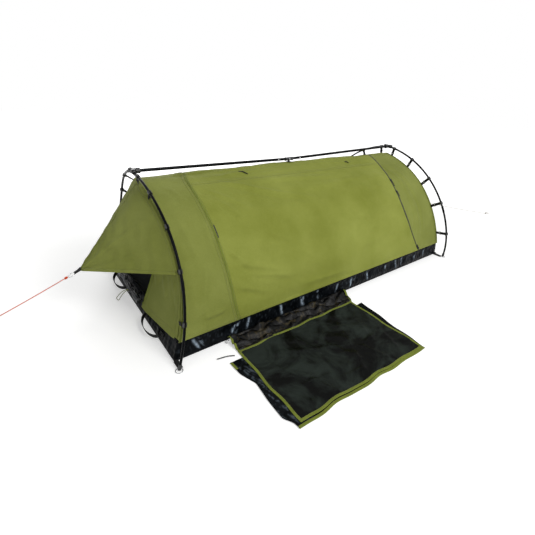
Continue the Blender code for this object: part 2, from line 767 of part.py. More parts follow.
def make_hanger(end, side, number, t, materials):
    """Make one hanger: a clip on the pole and the webbing that carries the canvas's hem."""
    centre = hoop_point(end, side, t)
    ahead = hoop_point(end, side, min(t + 1 / 100, 1.0))
    behind = hoop_point(end, side, t - 1 / 100)
    along = (ahead - behind).normalized()
    inward = nearest_canvas(end, side, centre)
    inward = (inward - along * inward.dot(along)).normalized()
    across = along.cross(inward)
    reach = strap_reach(end, centre, inward)
    canvas_near = min(
        strap_reach(end, centre + along * k * HANGER_WIDTH / 2, inward) for k in (-1, 0, 1))
    reach = min(reach, canvas_near) - SLIDE_GAP
    bore = (POLE_DIAMETER / 2 + CLIP_PLAY) / cos(pi / CLIP_STEPS / 2)
    shell = bore + CLIP_WALL
    half_strap = HANGER_STRAP / 2
    first = atan2(half_strap, sqrt(shell ** 2 - half_strap ** 2))
    last = pi - CLIP_MOUTH_DEGREES * pi / 360
    outline = [(reach, half_strap)]
    outer = spread(first, last, CLIP_STEPS)
    outline += [(shell * cos(a), shell * sin(a)) for a in outer]
    inner = spread(last, -last, 2 * CLIP_STEPS)
    outline += [(bore * cos(a), bore * sin(a)) for a in inner]
    outline += [(shell * cos(a), shell * sin(a)) for a in (-angle for angle in reversed(outer))]
    outline += [(reach, -half_strap)]
    count = len(outline)
    points = []
    for k in (-1, 1):
        points += [centre + along * k * HANGER_WIDTH / 2 + inward * a + across * b for a, b in outline]
    faces = [tuple(range(count)), tuple(range(2 * count - 1, count - 1, -1))]
    for k in range(count):
        following = (k + 1) % count
        faces.append((k, following, count + following, count + k))
    mesh_object(f"hanger_{end}_{side}_{number}", points, faces, materials["webbing"])


def make_ring(name, centre, normal, material):
    """Make a ring of round wire."""
    frame = Vector(normal).to_track_quat("Z", "Y").to_matrix()
    points = []
    for i in range(RING_STEPS):
        turn = 2 * pi * i / RING_STEPS
        spoke = Vector((cos(turn), sin(turn), 0))
        for j in range(RING_SIDES):
            angle = 2 * pi * (j + 1 / 2) / RING_SIDES
            local = spoke * (RING_RADIUS + RING_WIRE * cos(angle)) + Vector((0, 0, RING_WIRE * sin(angle)))
            points.append(centre + frame @ local)
    return mesh_object(name, points, ring_faces(RING_STEPS, RING_SIDES), material)


def ring_faces(steps, sides):
    """Give the faces of a closed ring of sections."""
    faces = []
    for i in range(steps):
        onward = (i + 1) % steps
        for j in range(sides):
            following = (j + 1) % sides
            faces.append((i * sides + j, onward * sides + j, onward * sides + following, i * sides + following))
    return faces


def corner_ring_centre(end, side):
    """Give the middle of the ring that a pole's foot stands in."""
    foot = hoop_point(end, side, leg_foot_share(end))
    return Vector((foot.x, foot.y, RING_WIRE))


def hood_ring_centre(end):
    """Give the middle of the ring at a hood's tab."""
    tab = tab_end(end)
    outward = (tab - hood_tip(end)).normalized()
    return tab + outward * (RING_RADIUS + RING_WIRE + GAP)


def make_rings(materials):
    """Make the four corner rings and the ring on each hood."""
    for end in ENDS:
        for side in SIDES:
            centre = corner_ring_centre(end, side)
            make_ring(f"corner_ring_{end}_{side}", centre, (0, 0, 1), materials["steel"])
        outward = (tab_end(end) - hood_tip(end)).normalized()
        normal = Vector((0, 1, 0)).cross(outward)
        make_ring(f"hood_ring_{end}", hood_ring_centre(end), normal, materials["steel"])


def tub_lean(end):
    """Give how far an end wall of the tub leans in over its height."""
    return LENGTH / 2 - abs(hoop_x(end, TUB_HEIGHT)) - TUB_WALL / 2


def end_wall_normal():
    """Give the outward direction of the tub's leaning front wall."""
    return Vector((-TUB_HEIGHT, 0, tub_lean("front"))).normalized()


def end_wall_point(height):
    """Give a point in the middle of the tub's front wall, on its outer face."""
    return Vector((tub_lean("front") * height / TUB_HEIGHT - LENGTH / 2, 0, height))


def handle_pivot(side):
    """Give the middle of the line that a handle turns on."""
    seat = end_wall_point(HANDLE_HEIGHT) + end_wall_normal() * (HANDLE_NOSE + HANDLE_CLEAR)
    return seat + Vector((0, SIDES[side] * HANDLE_MIDDLE, 0))


def make_handle(side, materials):
    """Make a webbing carry handle that turns on its two rolled ends."""
    droop = HANDLE_DROOP_DEGREES * pi / 180
    outward = Vector((-cos(droop), 0, -sin(droop)))
    up = Vector((-sin(droop), 0, cos(droop)))
    pivot = handle_pivot(side)
    path = [(HANDLE_SPAN / 2, -HANDLE_NOSE * cos(pi / 12), HANDLE_NOSE * sin(pi / 12))]
    path += [(HANDLE_SPAN / 2, -HANDLE_NOSE * cos(pi / 4), HANDLE_NOSE * sin(pi / 4))]
    for angle in spread(0.0, pi, HANDLE_STEPS):
        out = HANDLE_REACH * sin(angle)
        width = min(HANDLE_WIDTH / 2, HANDLE_NOSE + HANDLE_FLARE_SHARE * out)
        path.append((HANDLE_SPAN / 2 * cos(angle), out, width))
    path += [(-HANDLE_SPAN / 2, out, width) for _, out, width in (path[1], path[0])]
    layers = []
    for shift in (HANDLE_WEBBING / 2, -HANDLE_WEBBING / 2):
        grid = []
        for k, (y, out, width) in enumerate(path):
            if k in (0, 1, 2):
                inner = Vector((1, 0))
            elif k >= len(path) - 3:
                inner = Vector((-1, 0))
            else:
                angle = pi * (k - 2) / HANDLE_STEPS
                inner = Vector((cos(angle) * HANDLE_REACH, sin(angle) * HANDLE_SPAN / 2)).normalized()
            spot = pivot + Vector((0, y + inner.x * shift, 0)) + outward * (out + inner.y * shift)
            grid.append([spot - up * width, spot + up * width])
        layers.append(grid)
    handle = sheet_object(f"handle_{side}", layers[0], layers[1], materials["webbing"])
    set_origin(handle, pivot)


def flat_sheet(name, corners, low, thickness, material):
    """Make a flat cloth from its four corners, near the tub first."""
    back_left, back_right, front_right, front_left = [Vector((x, y, 0)) for x, y in corners]
    top = []
    bottom = []
    for i in range(MAT_ROWS + 1):
        left = back_left.lerp(front_left, i / MAT_ROWS)
        right = back_right.lerp(front_right, i / MAT_ROWS)
        row = [left.lerp(right, j / MAT_COLUMNS) for j in range(MAT_COLUMNS + 1)]
        top.append([point + Vector((0, 0, low + thickness)) for point in row])
        bottom.append([point + Vector((0, 0, low)) for point in row])
    return sheet_object(name, top, bottom, material)


def make_boot_mat(materials):
    """Make the boot mat: the strip that joins it to the tub, its base and its bound cover."""
    wall = -TUB_WIDTH / 2
    pivot = Vector((MAT_START + MAT_LENGTH / 2, wall - STRIP_CLEAR, STRIP_HEIGHT))
    hinge = bpy.data.objects.new("boot_mat_hinge", None)
    bpy.context.scene.collection.objects.link(hinge)
    hinge.location = pivot

    back = wall - MAT_SET_OFF
    front = back - MAT_DEPTH
    end = MAT_START + MAT_LENGTH
    cover_low = MAT_CLOTH + GAP
    cover = flat_sheet(
        "mat_cover", ((MAT_START, back), (end, back), (end, front), (MAT_START, front)),
        cover_low, MAT_CLOTH, materials["pvc"])
    base_back = back - BASE_BACK_SET
    base_front = front - BASE_FRONT_SET
    base = flat_sheet(
        "mat_base",
        ((MAT_START - BASE_HEAD_BACK, base_back), (end + BASE_FOOT_BACK, base_back),
         (end + BASE_FOOT_FRONT, base_front), (MAT_START - BASE_HEAD_FRONT, base_front)),
        0.0, MAT_CLOTH, materials["pvc"])

    middle = cover_low + MAT_CLOTH / 2
    flat = back + GAP + STRIP_FLAT
    profile = [
        (pivot.y, STRIP_HEIGHT, 1.0),
        ((pivot.y * 2 + flat) / 3, STRIP_HEIGHT * 2 / 3 + middle / 3, 2 / 3),
        (flat, middle, 1 / 3),
        (back + GAP, middle, 0.0),
    ]
    top = []
    bottom = []
    for k, (y, z, splay) in enumerate(profile):
        before = profile[max(k - 1, 0)]
        after = profile[min(k + 1, len(profile) - 1)]
        run = Vector((after[0] - before[0], after[1] - before[1]))
        if k == len(profile) - 1:
            run = Vector((-1, 0))
        normal = Vector((run.y, -run.x)).normalized() * STRIP_CLOTH / 2
        right = end + STRIP_SPLAY * splay
        row = spread(MAT_START, right, MAT_COLUMNS)
        top.append([Vector((x, y + normal.x, z + normal.y)) for x in row])
        bottom.append([Vector((x, y - normal.x, z - normal.y)) for x in row])
    strip = sheet_object("mat_strip", top, bottom, materials["mesh"])
    for piece in (strip, base, cover):
        set_origin(piece, pivot)
        piece.parent = hinge
        piece.location = (0, 0, 0)


def rope_route(start, end, sag, diameter):
    """Give the points of a taut rope that sags a little between its two ends."""
    length = (end - start).length
    count = min(ceil(length / (diameter * ROPE_POINT_SPACING_SHARE)), ROPE_POINTS_MOST)
    route = []
    for k in range(count + 1):
        share = k / count
        route.append(start.lerp(end, share) - Vector((0, 0, 4 * sag * share * (1 - share))))
    return route


def make_knot(name, start, along, material):
    """Make a short barrel of knotted cord between two faces."""
    shares = ((0.0, 0.45), (0.2, 0.95), (0.5, 1.0), (0.8, 0.95), (1.0, 0.45))
    sides = 10
    frame = along.to_track_quat("Z", "Y").to_matrix()
    points = []
    for place, width in shares:
        for k in range(sides):
            angle = 2 * pi * k / sides
            spoke = frame @ Vector((cos(angle), sin(angle), 0)) * KNOT_DIAMETER / 2 * width
            points.append(start + along * KNOT_LENGTH * place + spoke)
    faces = [tuple(range(sides)), tuple(range(len(points) - 1, len(points) - sides - 1, -1))]
    for i in range(len(shares) - 1):
        for k in range(sides):
            following = (k + 1) % sides
            faces.append((i * sides + k, i * sides + following, (i + 1) * sides + following, (i + 1) * sides + k))
    return mesh_object(name, points, faces, material)


def make_end_loop(name, start, along, diameter, material):
    """Make the loop that a peg holds, tied in the end of a rope."""
    knot = make_knot(name, start, along, material)
    centre = start + along * (KNOT_LENGTH + END_LOOP_RADIUS - diameter / 2)
    side = Vector((0, 0, 1)).cross(along).normalized()
    points = []
    for i in range(RING_STEPS):
        turn = 2 * pi * i / RING_STEPS
        spoke = along * cos(turn) + side * sin(turn)
        normal = along.cross(side)
        for j in range(END_LOOP_SIDES):
            angle = 2 * pi * (j + 1 / 2) / END_LOOP_SIDES
            points.append(
                centre + spoke * (END_LOOP_RADIUS + diameter / 2 * cos(angle)) + normal * diameter / 2 * sin(angle))
    loop = mesh_object(f"{name}_helper", points, ring_faces(RING_STEPS, END_LOOP_SIDES), material)
    combine(knot, loop, "UNION")


def make_guy_ropes(materials):
    """Make the two guy ropes with their end loops, and the knot that shows at the front ring."""
    run = Vector((-1, 0, -FRONT_ROPE_FALL_SHARE)).normalized()
    ring_edge = hood_ring_centre("front") + run * (RING_RADIUS + RING_WIRE + GAP)
    make_knot("guy_knot_front", ring_edge, run, materials["orange"])
    start = ring_edge + run * (KNOT_LENGTH + GAP)
    end = start + run * FRONT_ROPE_RUN
    route = rope_route(start, end, FRONT_ROPE_SAG, ROPE_DIAMETER)
    tube_object("guy_rope_front", route, ROPE_DIAMETER, materials["orange"])
    make_end_loop("guy_loop_front", end + run * GAP * 2, run, ROPE_DIAMETER, materials["orange"])

    ground = Vector((LENGTH / 2 + REAR_ROPE_REACH, -REAR_ROPE_ASIDE, KNOT_DIAMETER / 2 + GAP))
    centre = hood_ring_centre("rear")
    away = (ground - centre).normalized()
    start = centre + away * (RING_RADIUS + RING_WIRE + GAP)
    end = ground
    route = rope_route(start, end, REAR_ROPE_SAG, REAR_ROPE_DIAMETER)
    tube_object("guy_rope_rear", route, REAR_ROPE_DIAMETER, materials["grey"])
    level = Vector((away.x, away.y, 0)).normalized()
    make_end_loop("guy_loop_rear", end + level * GAP * 3, level, REAR_ROPE_DIAMETER, materials["grey"])


def main():
    """Build the whole swag."""
    clear_scene()
    materials = make_materials()
    make_tub(materials)
    make_mattress(materials)
    make_canopy(materials)
    make_end_walls(materials)
    for end in ENDS:
        make_hood(end, materials)
        make_hub(end, materials)
        for side in SIDES:
            for number, t in enumerate(HANGER_SHARES[end], start=1):
                make_hanger(end, side, number, t, materials)
    make_legs(materials)
    make_ridge(materials)
    make_rings(materials)
    for side in SIDES:
        make_handle(side, materials)
    make_boot_mat(materials)
    make_guy_ropes(materials)


main()
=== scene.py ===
"""Swag bedroll: a canvas dome on a PVC tub, hung from two hoops and a ridge pole.

Metres, +Z up. X runs along the bed, from the front door at -X to the foot end at +X. The near
side, with the boot mat, is at -Y. Every detailed piece stands where its plain solid stands.
"""
import logging
import math
from dataclasses import dataclass, field
from enum import Enum
from functools import partial
from typing import Callable, Sequence

import bpy
import numpy as np
from mathutils import Matrix, Vector


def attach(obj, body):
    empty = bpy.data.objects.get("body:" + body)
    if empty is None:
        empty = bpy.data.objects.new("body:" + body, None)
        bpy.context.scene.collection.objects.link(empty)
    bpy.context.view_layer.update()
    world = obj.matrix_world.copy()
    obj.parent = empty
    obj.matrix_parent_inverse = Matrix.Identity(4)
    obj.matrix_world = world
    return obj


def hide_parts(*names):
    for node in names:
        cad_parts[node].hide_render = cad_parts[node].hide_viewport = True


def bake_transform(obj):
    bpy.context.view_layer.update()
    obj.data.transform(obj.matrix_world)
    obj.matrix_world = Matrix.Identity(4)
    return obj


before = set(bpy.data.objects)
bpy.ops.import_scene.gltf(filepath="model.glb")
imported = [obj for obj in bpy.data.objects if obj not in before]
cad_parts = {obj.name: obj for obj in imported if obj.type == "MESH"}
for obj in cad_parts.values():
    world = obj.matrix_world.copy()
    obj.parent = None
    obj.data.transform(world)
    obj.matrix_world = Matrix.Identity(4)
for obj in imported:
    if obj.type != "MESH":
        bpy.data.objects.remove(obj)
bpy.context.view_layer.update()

Array = np.ndarray
Piece = bpy.types.Object
Rows = list[tuple[Array, Array]]
Socket = bpy.types.NodeSocket
LOG = logging.getLogger("swag_bedroll")


class End(Enum):
    """The two ends of the bed, with the sign of X at each."""

    FRONT = -1.0
    REAR = 1.0

    @property
    def word(self) -> str:
        """The end's name in the names of solids."""
        return self.name.lower()


class Side(Enum):
    """The two sides of the bed, with the sign of Y at each."""

    NEAR = -1.0
    FAR = 1.0

    @property
    def word(self) -> str:
        """The side's name in the names of solids."""
        return self.name.lower()


class Slot(Enum):
    """The finishes that the record lists."""

    CANVAS = "canvas"
    PVC = "pvc"
    MESH = "mesh"
    POLE = "pole"
    PLASTIC = "plastic"
    WEBBING = "webbing"
    STEEL = "steel"
    ORANGE_CORD = "orange_cord"
    GREY_CORD = "grey_cord"
    FOAM = "foam"


# ---------------------------------------------------------------- finishes


def linear(code: str) -> tuple[float, float, float, float]:
    """Turn an sRGB colour into linear light.

    Args:
        code: the colour as #rrggbb.

    Returns:
        Red, green, blue and a full alpha.
    """
    parts = [int(code[k:k + 2], 16) / 255 for k in (1, 3, 5)]
    return (*[c / 12.92 if c <= 0.04045 else ((c + 0.055) / 1.055) ** 2.4 for c in parts], 1.0)


def feed(node: bpy.types.Node, values: dict) -> None:
    """Set a node's inputs, each to a constant or from the output that feeds it.

    Args:
        node: the node.
        values: what each input gets, by the input's name or number.
    """
    for key, value in values.items():
        if isinstance(value, Socket):
            node.id_data.links.new(value, node.inputs[key])
        else:
            node.inputs[key].default_value = value


def add_node(
    tree: bpy.types.NodeTree, kind: str, values: dict | None = None, out: int | str | tuple = 0, **settings: str
) -> Socket | list[Socket]:
    """Add one shader node with its settings, its constants and its incoming links.

    Args:
        tree: the node tree of a material or of the world.
        kind: the node's type name, without the ShaderNode that it starts with.
        values: its inputs by name or number, each a constant or the output that feeds it.
        out: the name or number of the output to give, or a tuple of several.
        settings: attributes of the node itself.

    Returns:
        The output, or a list of them.
    """
    node = tree.nodes.new("ShaderNode" + kind)
    for key, value in settings.items():
        setattr(node, key, value)
    feed(node, values or {})
    return [node.outputs[key] for key in out] if isinstance(out, tuple) else node.outputs[out]


@dataclass(frozen=True)
class Finish:
    """A surface: its material, its base colour as #rrggbb and how rough it is."""

    name: str
    base: str
    roughness: float

    def build(self) -> bpy.types.Material:
        """Make the material once and give it again when it is asked for later.

        Returns:
            The material.
        """
        made = bpy.data.materials.get(self.name)
        if made:
            return made
        material = bpy.data.materials.new(self.name)
        material.use_nodes = True
        material.diffuse_color = linear(self.base)
        shader = material.node_tree.nodes["Principled BSDF"]
        feed(shader, {"Base Color": linear(self.base), "Roughness": self.roughness})
        add = partial(add_node, material.node_tree)
        feed(shader, self.paint(add, *add("TexCoord", out=("UV", "Object"))))
        return material

    def paint(self, add: Callable, flat: Socket, solid: Socket) -> dict:
        """Lay out the material's nodes.

        Args:
            add: adds a node to the material.
            flat: the coordinates along and across the piece, in metres.
            solid: the piece's own space.

        Returns:
            What goes into the shader's inputs.
        """
        raise NotImplementedError

    def pitch(self, flat: Socket, spacing_mm: float) -> dict:
        """Give the inputs of a wave whose bands are one thread, rib or tooth apart."""
        return {"Vector": flat, "Scale": 0.314159 / (spacing_mm / 1000), "Distortion": 0.0}


@dataclass(frozen=True)
class WovenCloth(Finish):
    """Plain-woven cloth: a checkered relief of threads with painted shade between them, softly uneven dye
    and a faint bloom of fibres.

    shade is the deeper tone of the dye, drawn_mm the thread spacing that is drawn, relief_mm the
    height of the threads, patch the size in metres of a patch of even tone.
    """

    shade: str = "#000000"
    drawn_mm: float = 2.0
    relief_mm: float = 0.25
    patch: float = 0.30
    sheen: float = 0.10
    specular: float = 0.25
    crumple_mm: float = 0.6

    def paint(self, add: Callable, flat: Socket, solid: Socket) -> dict:
        """Lay out the weave with the shade painted between its threads, the uneven dye and the fine crumple.

        Args:
            add: adds a node.
            flat: the coordinates along and across the piece.
            solid: the piece's own space.

        Returns:
            What goes into the shader's inputs.
        """
        warp, weft = (add("TexWave", self.pitch(flat, self.drawn_mm), "Fac", bands_direction=way) for way in "XY")
        over = add("TexChecker", {"Scale": 1 / (self.drawn_mm / 1000), "Vector": flat}, "Fac")
        weave = add("Mix", {0: over, 2: warp, 3: weft}, data_type="FLOAT")
        dye = add("TexNoise", {"Vector": solid, "Scale": 1 / self.patch, "Detail": 5.0, "Roughness": 0.55})
        slub = add("TexNoise", {"Vector": solid, "Scale": 160.0, "Detail": 3.0, "Roughness": 0.7})
        tone = add("Math", {0: slub, 1: 0.35, 2: dye}, operation="MULTIPLY_ADD")
        spread = add("MapRange", {"Value": tone, "From Min": 0.45, "From Max": 0.90})
        colour = add("Mix", {0: spread, 6: linear(self.shade), 7: linear(self.base)}, 2, data_type="RGBA")
        # Where the weave runs low the colour is darkened: painted shade between the threads.
        hollow = add("MapRange", {"Value": weave, "To Min": 0.80, "To Max": 1.06})
        woven = add("VectorMath", {0: colour, "Scale": hollow}, operation="SCALE")
        soft = add("TexNoise", {"Vector": solid, "Scale": 38.0, "Detail": 4.0, "Roughness": 0.6})
        crumple = add("Bump", {"Strength": 0.6, "Distance": self.crumple_mm / 1000, "Height": soft})
        threads = add("Bump", {"Strength": 0.7, "Distance": self.relief_mm / 1000, "Height": weave, "Normal": crumple})
        return {"Base Color": woven, "Normal": threads, "Specular IOR Level": self.specular,
                "Sheen Weight": self.sheen, "Sheen Roughness": 0.45}


@dataclass(frozen=True)
class CoatedCloth(Finish):
    """PVC laid over a woven scrim: a wet gloss with the scrim's grid and small creases pressed in it.

    scrim_mm is the spacing of the scrim's yarns that is drawn, crease_mm the depth of the creases,
    crease_size the size of a creased patch in metres, dust the tone of the dulled places, which
    on the satin is painted sheen, and wear the pale tone of the highlights painted along creases.
    """

    scrim_mm: float = 3.0
    scrim_relief_mm: float = 0.08
    crease_mm: float = 1.4
    crease_size: float = 0.035
    dust: str = "#26282a"
    ior: float = 1.25
    dull_size: float = 0.11
    # The pale blue-grey of the highlights painted along the creases that a mesh marks.
    wear: str = "#93a2b0"

    def paint(self, add: Callable, flat: Socket, solid: Socket) -> dict:
        """Lay out the creases, the scrim, the dulled places and the highlights painted along the creases.

        Args:
            add: adds a node.
            flat: the coordinates along and across the piece.
            solid: the piece's own space.

        Returns:
            What goes into the shader's inputs.
        """
        warp, weft = (add("TexWave", self.pitch(flat, self.scrim_mm), "Fac", bands_direction=way) for way in "XY")
        grid = add("Math", {0: warp, 1: weft}, operation="MAXIMUM")
        folds = {"Scale": 1 / self.crease_size, "Detail": 3.0, "Roughness": 0.45, "Distortion": 0.6, "Vector": solid}
        creases = add("TexNoise", folds, noise_type="RIDGED_MULTIFRACTAL")
        # The dulled places take a paler tone and a rougher gloss; on the satin the paler tone is painted sheen.
        dull = add("TexNoise", {
            "Vector": solid, "Scale": 1 / self.dull_size, "Detail": 6.0, "Roughness": 0.62, "Distortion": 1.3})
        patch = add("MapRange", {"Value": dull, "From Min": 0.44, "From Max": 0.62})
        colour = add("Mix", {0: patch, 6: linear(self.base), 7: linear(self.dust)}, 2, data_type="RGBA")
        # Pale streaks painted as highlights along the creases, read from the mesh's crease attribute and broken up by
        # a noise.
        rubbed = add("Attribute", out="Fac", attribute_name="crease_wear")
        streak = add("TexNoise", {"Vector": solid, "Scale": 42.0, "Detail": 3.0})
        broken = add("MapRange", {"Value": streak, "From Min": 0.38, "From Max": 0.60})
        amount = add("Math", {0: rubbed, 1: broken}, operation="MULTIPLY")
        worn = add("Mix", {0: amount, 6: colour, 7: linear(self.wear)}, 2, data_type="RGBA")
        gloss = add("MapRange", {"Value": patch, "To Min": self.roughness, "To Max": min(self.roughness + 0.18, 1.0)})
        pressed = add("Bump", {"Strength": 0.8, "Distance": self.crease_mm / 1000, "Height": creases})
        relief = {"Strength": 0.5, "Distance": self.scrim_relief_mm / 1000, "Height": grid, "Normal": pressed}
        return {"Base Color": worn, "Roughness": gloss, "Normal": add("Bump", relief), "IOR": self.ior}


@dataclass(frozen=True)
class OpenMesh(Finish):
    """Knitted polyester mesh: a fine dark net that the eye sees a little through.

    drawn_mm is the hole spacing that is drawn, cover the share of it that is yarn.
    """

    drawn_mm: float = 2.4
    cover: float = 0.62
    glint: str = "#2b2924"
    specular: float = 0.3

    def paint(self, add: Callable, flat: Socket, solid: Socket) -> dict:
        """Lay out the net of yarns and holes.

        Args:
            add: adds a node.
            flat: the coordinates along and across the piece.
            solid: the piece's own space.

        Returns:
            What goes into the shader's inputs.
        """
        warp, weft = (add("TexWave", self.pitch(flat, self.drawn_mm), "Fac", bands_direction=way) for way in "XY")
        yarn = add("Math", {0: warp, 1: weft}, operation="MAXIMUM")
        covered = add("Math", {0: yarn, 1: 1 - self.cover}, operation="GREATER_THAN")
        glint = add("TexNoise", {"Vector": solid, "Scale": 22.0, "Detail": 5.0, "Roughness": 0.65, "Distortion": 0.8})
        patch = add("MapRange", {"Value": glint, "From Min": 0.52, "From Max": 0.66})
        knit = add("Bump", {"Strength": 0.6, "Distance": 0.0003, "Height": yarn})
        colour = add("Mix", {0: patch, 6: linear(self.base), 7: linear(self.glint)}, 2, data_type="RGBA")
        return {"Base Color": colour, "Alpha": covered, "Normal": knit,
                "Specular IOR Level": self.specular}


@dataclass(frozen=True)
class RibbedWebbing(Finish):
    """Woven polyester webbing: close ribs across the strap, a little fuzz and paler worn edges.

    rib_mm is the rib spacing that is drawn.
    """

    rib_mm: float = 1.6
    worn: str = "#1c1c1c"

    def paint(self, add: Callable, flat: Socket, solid: Socket) -> dict:
        """Lay out the ribs and the wear.

        Args:
            add: adds a node.
            flat: the coordinates along and across the piece.
            solid: the piece's own space.

        Returns:
            What goes into the shader's inputs.
        """
        ribs = add("TexWave", self.pitch(flat, self.rib_mm), "Fac", bands_direction="X")
        twill = add("TexWave", self.pitch(flat, self.rib_mm), "Fac", bands_direction="DIAGONAL")
        weave = add("Math", {0: twill, 1: 0.5, 2: ribs}, operation="MULTIPLY_ADD")
        fuzz = add("TexNoise", {"Vector": solid, "Scale": 420.0, "Detail": 4.0})
        worn = add("MapRange", {"Value": fuzz, "From Min": 0.45, "From Max": 0.75})
        relief = add("Bump", {"Strength": 0.8, "Distance": 0.0004, "Height": weave})
        colour = add("Mix", {0: worn, 6: linear(self.base), 7: linear(self.worn)}, 2, data_type="RGBA")
        return {"Base Color": colour, "Normal": relief,
                "Specular IOR Level": 0.2, "Sheen Weight": 0.03}


@dataclass(frozen=True)
class DrawnMetal(Finish):
    """Metal drawn through a die: a clean sheen with faint lines along it and rubbed places.

    rubbed is the tone where the surface has been rubbed.
    """

    rubbed: str = "#8c8e90"
    rub_amount: float = 0.25

    def paint(self, add: Callable, flat: Socket, solid: Socket) -> dict:
        """Lay out the draw lines and the rubbed places.

        Args:
            add: adds a node.
            flat: the coordinates along and across the piece.
            solid: the piece's own space.

        Returns:
            What goes into the shader's inputs.
        """
        stretched = add("Mapping", {"Scale": (4.0, 900.0, 1.0), "Vector": flat})
        lines = add("TexNoise", {"Vector": stretched, "Scale": 1.0, "Detail": 3.0})
        rub = add("TexNoise", {"Vector": solid, "Scale": 24.0, "Detail": 6.0, "Roughness": 0.7})
        worn = add("MapRange", {"Value": rub, "From Min": 0.60, "From Max": 0.75, "To Max": self.rub_amount})
        gloss = add("MapRange", {"Value": lines, "From Min": 0.3, "From Max": 0.7, "To Min": self.roughness - 0.06,
                                 "To Max": self.roughness + 0.10})
        relief = add("Bump", {"Strength": 0.15, "Distance": 0.0001, "Height": lines})
        colour = add("Mix", {0: worn, 6: linear(self.base), 7: linear(self.rubbed)}, 2, data_type="RGBA")
        return {"Base Color": colour, "Roughness": gloss, "Normal": relief,
                "Metallic": 1.0}


@dataclass(frozen=True)
class MouldedPlastic(Finish):
    """Nylon moulded in a spark-etched tool: an even fine grain that breaks up its shine.

    grain_mm is the size of a grain that is drawn.
    """

    grain_mm: float = 0.9
    scuff: str = "#303133"

    def paint(self, add: Callable, flat: Socket, solid: Socket) -> dict:
        """Lay out the etched grain and the scuffs.

        Args:
            add: adds a node.
            flat: the coordinates along and across the piece.
            solid: the piece's own space.

        Returns:
            What goes into the shader's inputs.
        """
        grain = add("TexNoise", {"Vector": solid, "Scale": 1000 / self.grain_mm, "Detail": 2.0})
        scuffs = add("TexNoise", {"Vector": solid, "Scale": 90.0, "Detail": 6.0, "Roughness": 0.75})
        worn = add("MapRange", {"Value": scuffs, "From Min": 0.55, "From Max": 0.75})
        relief = add("Bump", {"Strength": 0.5, "Distance": 0.0002, "Height": grain})
        colour = add("Mix", {0: worn, 6: linear(self.base), 7: linear(self.scuff)}, 2, data_type="RGBA")
        return {"Base Color": colour, "Normal": relief}


@dataclass(frozen=True)
class BraidedCord(Finish):
    """Braided polyester cord: two families of strands that cross, with painted shade between them.

    strand_mm is the length of a strand's pass along the cord.
    """

    # The tone of the shade painted in the grooves between the strands.
    groove_shade: str = "#000000"
    strand_mm: float = 4.0

    def paint(self, add: Callable, flat: Socket, solid: Socket) -> dict:
        """Lay out the crossing strands; the coordinates run along the cord and once round it.

        Args:
            add: adds a node.
            flat: the coordinates along and across the piece.
            solid: the piece's own space.

        Returns:
            What goes into the shader's inputs.
        """
        heights = []
        for lean in (4.0, -4.0):
            run = (1000 / self.strand_mm, lean, 0.0)
            turned = add("VectorMath", {0: flat, 1: run}, "Value", operation="DOT_PRODUCT")
            angle = add("Math", {0: turned, 1: 2 * math.pi}, operation="MULTIPLY")
            heights.append(add("Math", {0: angle}, operation="SINE"))
        braid = add("Math", dict(enumerate(heights)), operation="MAXIMUM")
        level = add("MapRange", {"Value": braid, "From Min": -0.4, "From Max": 0.8})
        relief = add("Bump", {"Strength": 0.8, "Distance": 0.0005, "Height": braid})
        # The grooves between the strands are darkened: painted shade.
        colour = add("Mix", {0: level, 6: linear(self.groove_shade), 7: linear(self.base)}, 2, data_type="RGBA")
        return {"Base Color": colour, "Normal": relief, "Sheen Weight": 0.15}


@dataclass(frozen=True)
class ZipCoil(Finish):
    """A nylon zip: a woven tape with a coil of teeth down its middle, which glints in a row of dots.

    pitch_mm is the tooth spacing that is drawn.
    """

    pitch_mm: float = 2.4
    teeth: str = "#121314"

    def paint(self, add: Callable, flat: Socket, solid: Socket) -> dict:
        """Lay out the teeth; the coordinates run along the zip and across it.

        Args:
            add: adds a node.
            flat: the coordinates along and across the piece.
            solid: the piece's own space.

        Returns:
            What goes into the shader's inputs.
        """
        teeth = add("TexWave", self.pitch(flat, self.pitch_mm), "Fac", bands_direction="X")
        relief = add("Bump", {"Strength": 0.9, "Distance": 0.0007, "Height": teeth})
        colour = add("Mix", {0: teeth, 6: linear(self.base), 7: linear(self.teeth)}, 2, data_type="RGBA")
        return {"Base Color": colour, "Normal": relief}


def seen_white(add: Callable) -> Socket:
    """Lay out a switch that is 1 for the camera, reflections and see-through rays, and 0 for light on the object."""
    camera, glossy, through = add("LightPath", out=("Is Camera Ray", "Is Glossy Ray", "Is Transmission Ray"))
    seen = add("Math", {0: camera, 1: glossy}, operation="MAXIMUM")
    return add("Math", {0: seen, 1: through}, operation="MAXIMUM")


@dataclass(frozen=True)
class StudioFloor(Finish):
    """Matt white paper sweep: it takes the object's soft shadow and goes to white around it."""

    lift: float = 0.42
    sweep: tuple[float, float] = (1.5, 4.0)

    def paint(self, add: Callable, flat: Socket, solid: Socket) -> dict:
        """Lay out the paper and its lift to white, which only the camera and reflections see.

        Args:
            add: adds a node.
            flat: the coordinates along and across the piece.
            solid: the piece's own space.

        Returns:
            What goes into the shader's inputs.
        """
        reach = add("VectorMath", {0: solid}, "Value", operation="LENGTH")
        near, far = self.sweep
        away = add("MapRange", {"Value": reach, "From Min": near, "From Max": far, "To Min": self.lift, "To Max": 1.0},
                   interpolation_type="SMOOTHSTEP")
        amount = add("Math", {0: away, 1: seen_white(add)}, operation="MULTIPLY")
        return {"Specular IOR Level": 0.0, "Emission Color": linear("#ffffff"), "Emission Strength": amount}


# Proofed polycotton canvas, plain woven: threads about 0.5 mm apart in the real cloth, drawn 2 mm apart
# so that they show. It gives a dry matt face whose tone drifts, with a soft bloom at grazing angles.
CANVAS = WovenCloth("woven_polycotton_canvas", "#939a4a", 0.90, "#777e2e", 2.0, 0.22, 0.36, 0.04, 0.14)
